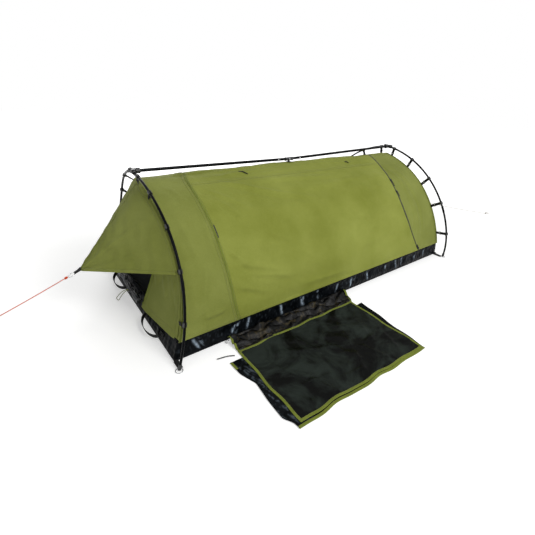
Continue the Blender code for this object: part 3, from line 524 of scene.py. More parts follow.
# The bands beside the doors are cut from the same roll and look a little greyer, as cloth on the cross does.
BAND_CANVAS = WovenCloth(
    "woven_polycotton_canvas_on_the_cross", "#8c934c", 0.92, "#777e38", 2.0, 0.22, 0.26, 0.04, 0.14)
# Folded canvas tape, sewn round edges: paler than the cloth where it turns over.
BINDING = WovenCloth("folded_canvas_binding", "#7d8836", 0.88, "#6c762c", 1.6, 0.25, 0.05, 0.05, 0.15, 0.4)
# Vinyl laminated on scrim with yarns 1.5 mm apart, drawn 3 mm apart: black, wet and creased.
# Where a mesh marks its creases, pale highlights are painted along them.
VINYL = CoatedCloth("laminated_vinyl_on_scrim", "#06080a", 0.18, 3.0, 0.04, 2.2, 0.050, "#101316", 1.09, 0.09)
# Coated nylon satin, close woven: a dark green-grey that shines softly along its creases, with paler patches of
# painted sheen.
SATIN = CoatedCloth("coated_nylon_satin", "#070807", 0.34, 1.8, 0.05, 2.8, 0.060, "#272d29", 1.12, 0.22)
# Fine knitted net, holes 1.2 mm apart in the real one, drawn 2.4 mm apart: a dark veil.
NET = OpenMesh("knitted_polyester_net", "#0a0a0a", 0.55)
# The same net rolled up, or doubled and bunched beside the tub: little shows through, and its folds glint.
ROLLED_NET = OpenMesh("rolled_polyester_net", "#050506", 0.26, 2.0, 1.0, "#4a5055", 0.30)
BUNCHED_NET = OpenMesh("bunched_polyester_net", "#050505", 0.40, 2.0, 1.0, "#3b3422", 0.14)
# Polyester webbing, shuttle woven with ribs 1.2 mm apart, drawn 1.6 mm apart: a dull ribbed black.
WEBBING = RibbedWebbing("shuttle_woven_polyester_webbing", "#0a0a0a", 0.80)
# Aluminium tube, drawn and black anodised: a dark narrow highlight along it.
ANODISED = DrawnMetal("black_anodised_drawn_aluminium", "#101112", 0.34, "#3c3e40", 0.25)
# Steel wire, drawn, bent and nickel plated: bright, with small rubbed patches.
NICKEL = DrawnMetal("nickel_plated_drawn_steel", "#b9babb", 0.20, "#8d8c88", 0.5)
# Glass-filled nylon, injection moulded: an even satin black with grey scuffs.
NYLON = MouldedPlastic("injection_moulded_glass_filled_nylon", "#101112", 0.42)
# Polyester cord braided over a core: crossing strands with painted shade in the grooves between them.
ORANGE_CORD = BraidedCord("braided_orange_polyester_cord", "#e84e16", 0.66, "#a83a0c", 4.0)
PALE_CORD = BraidedCord("braided_pale_polyester_cord", "#a89f8e", 0.70, "#6b6454", 3.6)
OLIVE_CORD = BraidedCord("braided_olive_elastic_cord", "#868c45", 0.70, "#4d5224", 3.0)
BLACK_CORD = BraidedCord("braided_black_polyester_cord", "#141414", 0.66, "#050505", 3.0)
# Spun polyester thread, in the cloth's colour and in black: small raised grains in a row.
OLIVE_THREAD = BraidedCord("spun_olive_polyester_thread", "#989d5c", 0.75, "#6c713a", 1.2)
BLACK_THREAD = BraidedCord("spun_black_polyester_thread", "#303030", 0.75, "#161616", 1.2)
# Nylon coil zip, extruded and woven on a tape: black teeth that catch the light one by one.
ZIP = ZipCoil("nylon_coil_zip", "#050505", 0.60)
# Brushed knitted polyester cover over foam: a soft dark grey with a bloom at its edges.
FOAM_COVER = WovenCloth(
    "brushed_knitted_polyester_cover", "#3b3d40", 0.92, "#2f3134", 2.2, 0.35, 0.12, 0.25, 0.2, 0.8)
# Uncoated white paper: flat and matt.
FLOOR = StudioFloor("matt_white_paper", "#e9e9e8", 0.95)


# ---------------------------------------------------------------- lines and grids of points


def unit(vectors: Array) -> Array:
    """Scale vectors to a length of one."""
    return vectors / np.maximum(np.linalg.norm(vectors, axis=-1, keepdims=True), 1e-12)


def xyz(x: float | Array, y: float | Array, z: float | Array) -> Array:
    """Give a point, or a line or grid of them where a coordinate has many values."""
    return np.stack(np.broadcast_arrays(*(np.asarray(value, float) for value in (x, y, z))), axis=-1)


def across_and_along(down: Array, over: Array) -> Array:
    """Give the flat coordinates of a grid from those of its rows and of its columns."""
    return np.stack(np.broadcast_arrays(down, over), axis=-1)


def mixed(first: Array, last: Array, share: Array) -> Array:
    """Go from one place to another."""
    return first * (1 - share) + last * share


def lengths_along(path: Array) -> Array:
    """Give the distance along a path at each of its points."""
    return np.concatenate([[0.0], np.cumsum(np.linalg.norm(np.diff(path, axis=0), axis=1))])


def resampled(path: Array, step: float) -> Array:
    """Give points on a path at even distances of about one step, both ends included."""
    run = lengths_along(path)
    places = np.linspace(0.0, run[-1], max(int(round(run[-1] / step)), 1) + 1)
    return np.stack([np.interp(places, run, path[:, k]) for k in range(path.shape[1])], axis=1)


def softened(path: Array, times: int) -> Array:
    """Round off the corners of a path."""
    for _ in range(times):
        path[1:-1] = (path[:-2] + 2 * path[1:-1] + path[2:]) / 4
    return path


def windowed(values: Array, width: int) -> Array:
    """Smooth a row of values over a window."""
    kernel = np.hanning(width) / np.hanning(width).sum()
    return np.convolve(np.pad(values, width // 2, mode="edge"), kernel, mode="valid")


def bezier(shares: Sequence[Sequence[float]], t: Array) -> list[Array]:
    """Give the two coordinates of points on a plane cubic curve.

    Args:
        shares: its four control points.
        t: places on it, from 0 to 1.

    Returns:
        The two coordinates.
    """
    weights = ((1 - t) ** 3, 3 * (1 - t) ** 2 * t, 3 * (1 - t) * t * t, t ** 3)
    return [sum(w * point[k] for w, point in zip(weights, shares)) for k in (0, 1)]


def smooth(value: Array) -> Array:
    """Ease from 0 to 1, flat at both ends."""
    share = np.clip(value, 0.0, 1.0)
    return share * share * (3 - 2 * share)


def bump(value: Array) -> Array:
    """Give a soft round hump, 1 high at 0."""
    return np.exp(-value ** 2)


def ripple(first: Array, second: Array, seed: int, wave: float, height: float, stretch: float = 1.0) -> Array:
    """Give soft uneven waves over a cloth.

    Args:
        first: distance along the cloth.
        second: distance across it.
        seed: picks one set of waves.
        wave: the typical wavelength.
        height: the typical height.
        stretch: above 1, the waves are longer in the first direction.

    Returns:
        The height at each point.
    """
    chance = np.random.default_rng(seed)
    total = np.zeros(np.broadcast(first, second).shape)
    for _ in range(10):
        angle, phase, size = chance.uniform(0, np.pi), chance.uniform(0, 2 * np.pi), chance.uniform(0.6, 1.7)
        turn = 2 * np.pi / (wave * size)
        total = total + np.sin(turn * (np.cos(angle) * first / stretch + np.sin(angle) * second) + phase)
    return height * total / 3.2


def grid_normals(grid: Array) -> Array:
    """Give a unit normal at each point of a grid, as its rows cross its columns."""
    return unit(np.cross(np.gradient(grid, axis=0), np.gradient(grid, axis=1)))


def line_frames(path: Array, hint: Array) -> tuple[Array, Array, Array]:
    """Give the directions that a strap or tube takes along a path.

    Args:
        path: points of shape (n, 3).
        hint: the rough up direction, one for all or one a point.

    Returns:
        The unit tangents, side directions and up directions.
    """
    ahead = unit(np.gradient(path, axis=0))
    side = unit(np.cross(ahead, np.broadcast_to(np.asarray(hint, float), path.shape)))
    return ahead, side, np.cross(side, ahead)


def ring_ahead(ring: Array) -> Array:
    """Give the unit tangents of a closed line."""
    return unit(np.roll(ring, -1, axis=0) - np.roll(ring, 1, axis=0))


def turns(count: int) -> Array:
    """Give even angles once round a circle."""
    return 2 * np.pi * np.arange(count) / count


def circle(angles: Array) -> Array:
    """Give the points of a circle of radius 1."""
    return np.stack([np.cos(angles), np.sin(angles)], axis=1)


def strap_profile(width: float, thickness: float) -> Array:
    """Give the closed section of a flat strap with rounded edges.

    Args:
        width: of the strap.
        thickness: of the strap.

    Returns:
        Points of shape (n, 2), across it and up.
    """
    half, thin = width / 2, thickness / 2
    edge = [(half - thin + thin * math.cos(a), thin * math.sin(a)) for a in np.linspace(-1.2, 1.2, 5)]
    flat = [(half * k, thin) for k in (0.7, 0.35, 0.0, -0.35, -0.7)]
    return np.array(edge + flat + [(-x, -y) for x, y in edge + flat])


def swept(path: Array, side: Array, up: Array, profile: Array) -> Array:
    """Carry a section along a path.

    Args:
        path: points of shape (n, 3).
        side: the section's first direction at each point.
        up: its second direction.
        profile: the section, of shape (m, 2) or (n, m, 2).

    Returns:
        A grid of points of shape (n, m, 3).
    """
    shape = np.broadcast_to(profile, (len(path), *profile.shape[-2:]))
    return path[:, None] + side[:, None] * shape[..., 0:1] + up[:, None] * shape[..., 1:2]


# ---------------------------------------------------------------- mesh objects


def mesh_object(name: str, points: Array, faces: list, uv: Array, materials: Sequence) -> Piece:
    """Make a smooth mesh object.

    Args:
        name: the piece's name.
        points: its points, of shape (n, 3).
        faces: point numbers of each face.
        uv: coordinates of each face corner, of shape (corners, 2).
        materials: its materials.

    Returns:
        The object, in the scene.
    """
    mesh = bpy.data.meshes.new(name)
    mesh.from_pydata(points.tolist(), [], faces)
    mesh.uv_layers.new(name="UVMap").data.foreach_set("uv", np.asarray(uv, np.float32).ravel())
    mesh.shade_smooth()
    for material in materials:
        mesh.materials.append(material)
    item = bpy.data.objects.new(name, mesh)
    bpy.context.scene.collection.objects.link(item)
    return item


def grid_object(
    name: str, grid: Array, finish: Finish, uv: Array | None = None, close_rows: bool = False,
    close_columns: bool = False, flip: bool = False, caps: bool = False,
) -> Piece:
    """Make an object from a grid of points.

    Args:
        name: the piece's name.
        grid: points of shape (rows, columns, 3).
        finish: its surface.
        uv: coordinates of shape (rows, columns, 2), with one more row or column where closed; left
            out, they are metres along the columns and along the rows.
        close_rows: the last row joins the first.
        close_columns: the last column joins the first.
        flip: turn the faces over.
        caps: close the two ends of a tube.

    Returns:
        The object.
    """
    rows, columns = grid.shape[:2]
    i, j = np.meshgrid(np.arange(rows - 1 + close_rows), np.arange(columns - 1 + close_columns), indexing="ij")
    row = np.stack([i, i + 1, i + 1, i], axis=-1).reshape(-1, 4)
    column = np.stack([j, j, j + 1, j + 1], axis=-1).reshape(-1, 4)
    faces = (row % rows) * columns + column % columns
    if uv is None:
        full = np.concatenate([grid, grid[:1]], axis=0) if close_rows else grid
        full = np.concatenate([full, full[:, :1]], axis=1) if close_columns else full
        down, over = (np.linalg.norm(np.diff(full, axis=k), axis=2).cumsum(axis=k) for k in (0, 1))
        down = np.pad(down, ((1, 0), (0, 0)))
        uv = np.stack([down.mean(axis=1, keepdims=True) + 0 * down, np.pad(over, ((0, 0), (1, 0)))], axis=-1)
    corners = uv[row, column]
    if flip:
        faces, corners = faces[:, ::-1], corners[:, ::-1]
    faces, corners = faces.tolist(), corners.reshape(-1, 2)
    if caps:
        ends = [list(range(columns)), list(range(rows * columns - 1, (rows - 1) * columns - 1, -1))]
        faces += [end[::-1] if flip else end for end in ends]
        corners = np.concatenate([corners, np.zeros((2 * columns, 2))])
    return mesh_object(name, grid.reshape(-1, 3), faces, corners, [finish.build()])


def thicken(item: Piece, thickness: float, offset: float = -1.0) -> Piece:
    """Give a sheet its thickness; with an offset of -1 it grows behind its faces."""
    change = item.modifiers.new("thickness", "SOLIDIFY")
    change.thickness, change.offset = thickness, offset
    return item


def tube(
    name: str, path: Array, radius: float | Array, finish: Finish, sides: int = 14,
    hint: Sequence[float] = (0.0, 0.0, 1.0),
) -> Piece:
    """Make a round rod or cord along a path, with rounded ends.

    Args:
        name: the piece's name.
        path: its middle line.
        radius: one for all or one a point.
        finish: its surface.
        sides: how many sides it has.
        hint: a rough up direction, never along the path.

    Returns:
        The object.
    """
    radii = np.broadcast_to(np.asarray(radius, float), (len(path),))
    ahead, side, up = line_frames(path, hint)
    first, last = radii[0], radii[-1]
    line = np.concatenate([
        path[0] + ahead[0] * first * np.array([[0.0], [0.225], [0.6]]), path[1:-1],
        path[-1] - ahead[-1] * last * np.array([[0.6], [0.225], [0.0]])])
    sizes = np.concatenate([[first * 0.35, first * 0.80], radii, [last * 0.80, last * 0.35]])
    side, up = (np.concatenate([way[:1], way[:1], way, way[-1:], way[-1:]]) for way in (side, up))
    grid = swept(line, side, up, sizes[:, None, None] * circle(turns(sides))[None])
    uv = across_and_along(lengths_along(line)[:, None], np.arange(sides + 1)[None] / sides)
    return grid_object(name, grid, finish, uv, close_columns=True, caps=True)


def strap(
    name: str, path: Array, up: Array, width: float | Array, thickness: float, finish: Finish = WEBBING
) -> Piece:
    """Make a flat strap along a path.

    Args:
        name: the piece's name.
        path: its middle line.
        up: its rough facing direction, one for all or one a point.
        width: one for all or one a point.
        thickness: through the strap.
        finish: its surface.

    Returns:
        The object.
    """
    _, side, facing = line_frames(path, up)
    widths = np.broadcast_to(np.asarray(width, float), (len(path),))
    profile = np.stack([strap_profile(float(w), thickness) for w in widths])
    over = np.linspace(0.0, 2 * float(widths.mean()), profile.shape[1] + 1)
    uv = across_and_along(lengths_along(path)[:, None], over[None])
    return grid_object(name, swept(path, side, facing, profile), finish, uv, close_columns=True, caps=True)


def folded_strap(name: str, path: Array, across: Sequence[float], width: float | Array, thickness: float) -> Piece:
    """Make a webbing strap that is folded back on itself, from the direction across it.

    Args:
        name: the piece's name.
        path: its middle line.
        across: the direction of its width.
        width: one for all or one a point.
        thickness: through the strap.

    Returns:
        The object.
    """
    return strap(name, path, np.cross(unit(np.gradient(path, axis=0)), across), width, thickness)


def joined(name: str, parts: Sequence[Piece]) -> Piece:
    """Join pieces of one assembly into one object, with their modifiers applied.

    Args:
        name: the joined piece's name.
        parts: the objects, which are used up.

    Returns:
        The joined object.
    """
    bpy.context.view_layer.update()
    graph = bpy.context.evaluated_depsgraph_get()
    points, faces, corners, slots, materials = [], [], [], [], []
    start = 0
    for part in parts:
        mesh = bpy.data.meshes.new_from_object(part.evaluated_get(graph))
        mesh.transform(part.matrix_world)
        places, uv = np.empty((len(mesh.vertices), 3)), np.empty((len(mesh.loops), 2))
        mesh.vertices.foreach_get("co", places.ravel())
        mesh.uv_layers[0].data.foreach_get("uv", uv.ravel())
        points.append(places)
        corners.append(uv)
        faces += [[v + start for v in face.vertices] for face in mesh.polygons]
        material = part.data.materials[0]
        if material not in materials:
            materials.append(material)
        slots += [materials.index(material)] * len(mesh.polygons)
        start += len(places)
        bpy.data.meshes.remove(mesh)
    item = mesh_object(name, np.concatenate(points), faces, np.concatenate(corners), materials)
    item.data.polygons.foreach_set("material_index", slots)
    for part in parts:
        bpy.data.objects.remove(part, do_unlink=True)
    return item


def crisp(item: Piece, degrees: float) -> Piece:
    """Keep the hard edges of a moulded or pressed piece crisp."""
    item.data.set_sharp_from_angle(angle=math.radians(degrees))
    return item


# One stitch: stations along it as shares of the pitch, with the thread's size and its height there.
STITCH = ((-0.34, 0.1, -0.0003), (-0.18, 1.0, 0.0004), (0.18, 1.0, 0.0004), (0.34, 0.1, -0.0003))
THREAD_RADIUS = 0.00055


def stitches(name: str, rows: Rows, slot: Slot, finish: Finish, pitch: float = 0.0065, body: str = "swag") -> None:
    """Make rows of single stitches, each a small grain of thread that dips into the cloth.

    Args:
        name: the piece's name.
        rows: the line of each row and the cloth's outward direction along it.
        slot: the record's finish.
        finish: the thread.
        pitch: from one stitch to the next; real ones are 3 to 4 mm apart, drawn wider so that they show.
        body: the body that it moves with.
    """
    points, faces, corners = [], [], []
    for path, up in rows:
        both = resampled(np.concatenate([path, np.broadcast_to(up, path.shape)], axis=1), pitch)
        line, normal = both[:, :3], unit(both[:, 3:])
        ahead = unit(np.gradient(line, axis=0))
        side = unit(np.cross(ahead, normal))
        for k in range(len(line)):
            base = len(points)
            for along, size, rise in STITCH:
                middle = line[k] + ahead[k] * along * pitch + normal[k] * rise
                for turn in (0.0, 0.5, 1.0, 1.5):
                    spoke = side[k] * math.cos(turn * math.pi) + normal[k] * math.sin(turn * math.pi)
                    points.append(middle + spoke * THREAD_RADIUS * size)
            for ring in range(3):
                low, high = ring * 0.001, ring * 0.001 + 0.001
                for j in range(4):
                    a, b = base + ring * 4 + j, base + ring * 4 + (j + 1) % 4
                    faces.append([a, a + 4, b + 4, b])
                    corners += [(low, j / 4), (high, j / 4), (high, j / 4 + 0.25), (low, j / 4 + 0.25)]
    settle(mesh_object(name, np.array(points), faces, np.array(corners), [finish.build()]), slot, body=body)


def settle(item: Piece, slot: Slot, *nodes: str, body: str = "swag") -> Piece:
    """Hang a piece on its body, hide the plain solids that it replaces and report it.

    Args:
        item: the piece.
        slot: the record's finish.
        nodes: the plain solids that it replaces.
        body: the body that it moves with.

    Returns:
        The piece.
    """
    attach(item, body)
    return finished(item, slot, *nodes, how=f"rides on {body}")


def bend_with_mat(item: Piece, slot: Slot, *nodes: str) -> Piece:
    """Bake a soft piece's place into its mesh, hide the solids that it stands for and report it."""
    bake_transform(item)
    return finished(item, slot, *nodes, how="bends from the swag to the boot mat")


def finished(item: Piece, slot: Slot, *nodes: str, how: str) -> Piece:
    """Hide the solids that a piece stands for and report it.

    Args:
        item: the piece.
        slot: the record's finish; not used.
        nodes: the solids that it stands for.
        how: how it moves, for the report.

    Returns:
        The piece.
    """
    if nodes:
        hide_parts(*nodes)
    LOG.info("%s %s", item.name, how)
    return item


def declare_cloth(item: Piece, grid: Array, held: str, *rests_on: str) -> None:
    """Work out the size that a sheet of cloth was cut to, read from its own grid; nothing is done with it.

    Args:
        item: the piece; not used.
        grid: its outer face as a grid of points.
        held: how it is held; not used.
        rests_on: what it lies on or hangs from; not used.
    """
    down = np.linalg.norm(np.diff(grid, axis=0), axis=2)
    over = np.linalg.norm(np.diff(grid, axis=1), axis=2)
    crossed = np.cross(grid[1:, 1:] - grid[:-1, :-1], grid[1:, :-1] - grid[:-1, 1:])
    area = float(np.linalg.norm(crossed, axis=2).sum() / 2)
    width, length = float(over.sum(axis=1).max()), float(down.sum(axis=0).max())
    width = max(width, area / length)
    area = min(max(area, 0.31 * width * length), width * length)


# ---------------------------------------------------------------- the swag's main curves


@dataclass(frozen=True)
class SwagShape:
    """The curves that the hoops, the canvas and the tub follow, the same as those of their solids."""

    length: float = 2.15
    hoop_span: float = 1.20
    hoop_height: float = 0.735
    tub_width: float = 1.08
    tub_height: float = 0.10
    tub_wall: float = 0.003
    gap: float = 0.0003
    slide_gap: float = 0.0006
    canvas: float = 0.002
    hem: float = 0.006
    pole_radius: float = 0.0065
    ridge_drop: float = 0.018
    peak_rise: float = 0.011
    peak_share: float = 0.49
    door_top: float = 0.12
    seam_gap: float = 0.0007
    side_sag: float = 0.012
    fold_depth: float = 0.005
    pull_back: float = 0.040
    pull_in: float = 0.030
    hood_reach: float = 0.225
    hood_tip_height: float = 0.294
    hood_corner_share: float = 0.595
    tab_width: float = 0.025
    tab_length: float = 0.024
    tab_fall: float = 0.42
    ring_radius: float = 0.016
    ring_wire: float = 0.002
    front_seam: tuple[float, ...] = (0.112, 0.040, 0.35, 0.65)
    rear_seam: tuple[float, ...] = (0.832, 0.050, 0.50, 0.50)
    folds: tuple[tuple[float, ...], ...] = ((0.16, 0.05, 0.10), (0.34, 0.06, 0.06), (0.58, 0.08, -0.05))
    leans: dict = field(default_factory=lambda: {End.FRONT: 0.089, End.REAR: 0.107})
    bows: dict = field(default_factory=lambda: {End.FRONT: 0.056, End.REAR: 0.029})
    top_drops: dict = field(default_factory=lambda: {End.FRONT: 0.043, End.REAR: 0.051})
    hoops: dict = field(default_factory=lambda: {
        End.FRONT: ((1.0, 0.0), (0.917, 0.278), (0.709, 0.933), (0.0, 1.0)),
        End.REAR: ((1.0, 0.0), (1.102, 0.387), (0.765, 0.926), (0.0, 1.0))})
    arches: dict = field(default_factory=lambda: {
        End.FRONT: ((1.0, 0.0), (0.969, 0.284), (0.704, 0.981), (0.0, 1.0)),
        End.REAR: ((1.0, 0.0), (0.951, 0.347), (0.729, 0.862), (0.0, 1.0))})

    def hoop_x(self, end: End, height: Array) -> Array:
        """Give the X of a hoop's curved surface at a height."""
        share = np.asarray(height, float) / self.hoop_height
        inward = self.leans[end] * share + 4 * self.bows[end] * share * (1 - share)
        return end.value * (self.length / 2 - inward)

    def hoop(self, end: End, side: Side, t: Array) -> Array:
        """Give points of a hoop's axis, from its foot at 0 to its top at 1."""
        out, up = bezier(self.hoops[end], np.asarray(t, float))
        height = up * self.hoop_height
        return xyz(self.hoop_x(end, height), side.value * out * self.hoop_span / 2, height)

    def arch(self, end: End, v: Array) -> tuple[Array, Array]:
        """Give Y and Z of the canvas at one end.

        Args:
            end: which end.
            v: places round the arch, from the near rim at -1 to the far rim at 1.

        Returns:
            The two coordinates.
        """
        v = np.asarray(v, float)
        out, up = bezier(self.arches[end], 1 - np.abs(v))
        rise = self.hoop_height - self.top_drops[end] - self.tub_height - self.gap
        return np.sign(v) * out * self.tub_width / 2, self.tub_height + self.gap + up * rise

    def front_pull(self, v: Array) -> Array:
        """Give how far the guy rope and the roof pull the front hem off its hoop, back and in.

        Args:
            v: places round the arch.

        Returns:
            The shifts.
        """
        v = np.asarray(v, float)
        fade = 1 - smooth((v - 0.50) / 0.40)
        back = self.pull_back * smooth((v + 0.12) / 0.22) * fade
        return xyz(back, -(self.pull_in * smooth((v - 0.12) / 0.22) * fade), 0.0)

    def hem_line(self, end: End, v: Array) -> Array:
        """Give points on the canvas's end hem."""
        y, z = self.arch(end, v)
        line = xyz(self.hoop_x(end, z) + end.value * self.hem, y, z)
        return line + self.front_pull(v) if end is End.FRONT else line

    def seam(self, shares: Sequence[float], v: Array) -> Array:
        """Give where a curved seam crosses the roof's length."""
        least, growth, middle, reach = shares
        return least + growth * ((np.abs(v) - middle) / reach) ** 2

    def relief(self, u: Array, v: Array) -> Array:
        """Give how far the canvas stands out from the straight lines between its two hems.

        Args:
            u: shares along the roof.
            v: shares round the arch.

        Returns:
            The height, which is below 0 where the wind side pulls in.
        """
        around, top = np.abs(v), self.door_top
        tent = np.where(u < self.peak_share, u / self.peak_share, (1 - u) / (1 - self.peak_share))
        roof = self.peak_rise * np.maximum(tent, 0.0) * (1 - (np.minimum(around, top) / top) ** 2)
        front, rear = self.seam(self.front_seam, v), self.seam(self.rear_seam, v)
        along = np.clip((u - front) / (rear - front), 0.0, 1.0)
        down = np.clip((around - top) / (1 - top), 0.0, 1.0)
        span = 4 * along * (1 - along)
        depth = self.side_sag * span * np.sin(np.pi * down)
        for middle, width, slope in self.folds:
            place = (down - middle - slope * along) / width
            depth = depth + self.fold_depth * span * bump(place) * np.sin(np.pi * down)
        return np.where(around < top, roof, -depth)

    def outward(self, points: Array) -> Array:
        """Give the direction away from the bed's own middle line."""
        return unit(points * [0.0, 1.0, 1.0] - [0.0, 0.0, self.tub_height])

    def plain_skin(self, u: Array, v: Array) -> Array:
        """Give points on the canopy's outer face before its small folds."""
        base = mixed(self.hem_line(End.FRONT, v), self.hem_line(End.REAR, v), np.asarray(u, float)[..., None])
        return base + self.outward(base) * self.relief(u, v)[..., None]

    def metres(self, u: Array, v: Array) -> tuple[Array, Array]:
        """Give the distance along the canopy from its front hem, and round it from the roof's middle.

        Args:
            u: shares along the roof.
            v: shares round the arch.

        Returns:
            The two distances.
        """
        table = np.linspace(0.0, 1.0, 401)
        round_at = []
        for end in End:
            run = lengths_along(np.stack(self.arch(end, table), axis=1))
            round_at.append(np.interp(np.abs(v), table, run))
        reach = np.linalg.norm(self.hem_line(End.REAR, v) - self.hem_line(End.FRONT, v), axis=-1)
        return u * reach, mixed(*round_at, u)

    def hood_tip(self, end: End) -> Array:
        """Give the middle of a hood's tip, where its webbing tab starts."""
        return xyz(end.value * (self.length / 2 + self.hood_reach), 0.0, self.hood_tip_height)

    def tab_run(self, end: End) -> Array:
        """Give the direction of a hood's tab and of the guy rope beyond it."""
        return unit(xyz(end.value, 0.0, -self.tab_fall))

    @property
    def ring_out(self) -> float:
        """How far a ring reaches from its middle, with the gap round it."""
        return self.ring_radius + self.ring_wire + self.gap

    def hood_ring(self, end: End) -> Array:
        """Give the middle of the ring at a hood's tab."""
        return self.hood_tip(end) + self.tab_run(end) * (self.tab_length + self.ring_out)

    def foot_share(self, end: End) -> float:
        """Give where a pole's axis ends just above the ground."""
        shares = np.linspace(0.0, 0.1, 201)
        return float(shares[np.argmax(self.hoop(end, Side.FAR, shares)[:, 2] >= 0.003)])

    def corner_ring(self, end: End, side: Side) -> Array:
        """Give the middle of the ring that a pole's foot stands in."""
        foot = self.hoop(end, side, self.foot_share(end))
        return xyz(foot[0], foot[1], self.ring_wire)

    def tub_lean(self, end: End) -> float:
        """Give how far an end wall of the tub leans in over its height."""
        return float(self.length / 2 - abs(self.hoop_x(end, self.tub_height)) - self.tub_wall / 2)

    def front_wall(self, height: float) -> tuple[Array, Array]:
        """Give the middle of the tub's front wall at a height, and its outward direction."""
        lean = self.tub_lean(End.FRONT)
        seat = xyz(lean * height / self.tub_height - self.length / 2, 0.0, height)
        return seat, unit(xyz(-self.tub_height, 0.0, lean))


@dataclass(frozen=True)
class Crease:
    """A fold pulled into the canvas between two places, each metres along it and metres down from the ridge."""

    start: tuple[float, float]
    end: tuple[float, float]
    width: float
    height: float

    def lift(self, along: Array, down: Array) -> Array:
        """Give how far the fold lifts the cloth.

        Args:
            along: metres along the cloth.
            down: metres down it.

        Returns:
            The height, a soft ridge with a shallow hollow on its lower side.
        """
        run = np.subtract(self.end, self.start)
        reach = float(np.hypot(*run))
        share = ((along - self.start[0]) * run[0] + (down - self.start[1]) * run[1]) / reach ** 2
        aside = ((down - self.start[1]) * run[0] - (along - self.start[0]) * run[1]) / reach
        fade = smooth(1.5 - np.abs(2 * share - 1) * 1.25)
        hollow = bump((aside - 1.9 * self.width) / (1.2 * self.width))
        return 1.5 * self.height * fade * (bump(aside / self.width) - 0.6 * hollow)


def creases(table: Sequence[Sequence[float]]) -> tuple[Crease, ...]:
    """Read creases from rows of start, end, width and height."""
    return tuple(Crease((x0, y0), (x1, y1), width, height) for x0, y0, x1, y1, width, height in table)


SHAPE = SwagShape()


# ---------------------------------------------------------------- cords


@dataclass
class GuyRope:
    """A braided guy rope: a knot at the hood's ring, the taut rope, and the loop that a peg holds."""

    end: End
    start: Array
    stop: Array
    sag: float
    diameter: float
    finish: Finish
    slot: Slot
    knot_length: float = 0.018
    knot_radius: float = 0.0060
    loop_radius: float = 0.016
    strands: int = 3
    strand_pitch: float = 2.6

    def route(self) -> Array:
        """Give the rope's middle line, which sags a little between its two ends."""
        share = np.linspace(0.0, 1.0, 40)[:, None]
        return mixed(self.start, self.stop, share) - 4 * self.sag * share * (1 - share) * xyz(0, 0, 1)

    def rope(self) -> Piece:
        """Build the rope, with its strands raised along it.

        Returns:
            The rope as a mesh tube.
        """
        line = resampled(self.route(), self.diameter * 0.30)
        _, side, up = line_frames(line, (0.0, 0.0, 1.0))
        angles = turns(20)
        run = lengths_along(line)[:, None]
        turn = 2 * np.pi * run / (self.diameter * self.strand_pitch)
        raised = np.maximum(*(np.sin(self.strands * angles[None] + way * turn) for way in (1, -1)))
        radius = self.diameter / 2 * (0.93 + 0.07 * raised)
        grid = swept(line, side, up, radius[..., None] * circle(angles)[None])
        uv = across_and_along(run, np.arange(21)[None] / 20)
        return grid_object(f"braided_guy_rope_{self.end.word}", grid, self.finish, uv, close_columns=True, caps=True)

    def hitch(self, start: Array, run: Array, count: int) -> list[Piece]:
        """Build a barrel knot: turns of cord wound round the standing part.

        Args:
            start: where the knot begins.
            run: its unit direction.
            count: how many turns there are.

        Returns:
            The coil and its core.
        """
        _, side, up = line_frames(np.stack([start, start + run * 0.01]), (0.0, 0.0, 1.0))
        place = np.linspace(0.0, 1.0, count * 22)[:, None]
        cord = self.diameter * 0.46
        swell = (self.knot_radius - cord) * (0.80 + 0.20 * np.sin(np.pi * place))
        angle = 2 * np.pi * count * place
        inset = cord * 1.05
        line = start + run * (inset + (self.knot_length - 2 * inset) * place)
        line = line + swell * (side[0] * np.cos(angle) + up[0] * np.sin(angle))
        core = start + run * np.linspace(0.0006, self.knot_length - 0.0006, 8)[:, None]
        return [tube("coil", line, cord, self.finish, 10, run),
                tube("core", core, self.diameter * 0.62, self.finish, 12)]

    def loop(self, name: str, start: Array, run: Array) -> Piece:
        """Build the end loop behind its own knot.

        Args:
            name: the piece's name.
            start: where the knot begins.
            run: the unit direction from the rope on.

        Returns:
            The knot and loop as one piece.
        """
        side = unit(np.cross([0.0, 0.0, 1.0], run))
        centre = start + run * (self.knot_length + self.loop_radius - self.diameter / 2)
        angle = np.linspace(-np.pi + 0.12, np.pi - 0.12, 60)[:, None]
        pinch = 1 - 0.30 * np.clip(-np.cos(angle), 0, 1) ** 3
        ring = centre + self.loop_radius * (run * np.cos(angle) + side * np.sin(angle) * pinch)
        return joined(name, self.hitch(start, run, 4) + [tube("ring", ring, self.diameter / 2, self.finish)])

    def build(self) -> None:
        word = self.end.word
        rope = settle(self.rope(), self.slot, f"guy_rope_{word}")
        along = unit(self.stop - self.start)
        if self.end is End.FRONT:
            edge = self.start - along * (self.knot_length + SHAPE.gap)
            knot = joined("ring_knot_front", self.hitch(edge, along, 5))
            settle(knot, self.slot, "guy_knot_front")
            begin, run = self.stop + along * 0.0006, along
        else:
            run = unit(along * [1.0, 1.0, 0.0])
            begin = self.stop + run * 0.0009
        loop = self.loop(f"peg_loop_{word}", begin, run)
        settle(loop, self.slot, f"guy_loop_{word}")


def guy_ropes() -> list[GuyRope]:
    """Give the front and the rear guy rope, each from its hood's ring."""
    run = unit(xyz(-1.0, 0.0, -0.372))
    start = SHAPE.hood_ring(End.FRONT) + run * SHAPE.ring_out + run * (0.018 + SHAPE.gap)
    front = GuyRope(End.FRONT, start, start + run * 0.335, 0.002, 0.004, ORANGE_CORD, Slot.ORANGE_CORD)
    ground = xyz(SHAPE.length / 2 + 1.425, -0.272, 0.0063)
    centre = SHAPE.hood_ring(End.REAR)
    start = centre + unit(ground - centre) * SHAPE.ring_out
    return [front, GuyRope(End.REAR, start, ground, 0.010, 0.0035, PALE_CORD, Slot.GREY_CORD)]


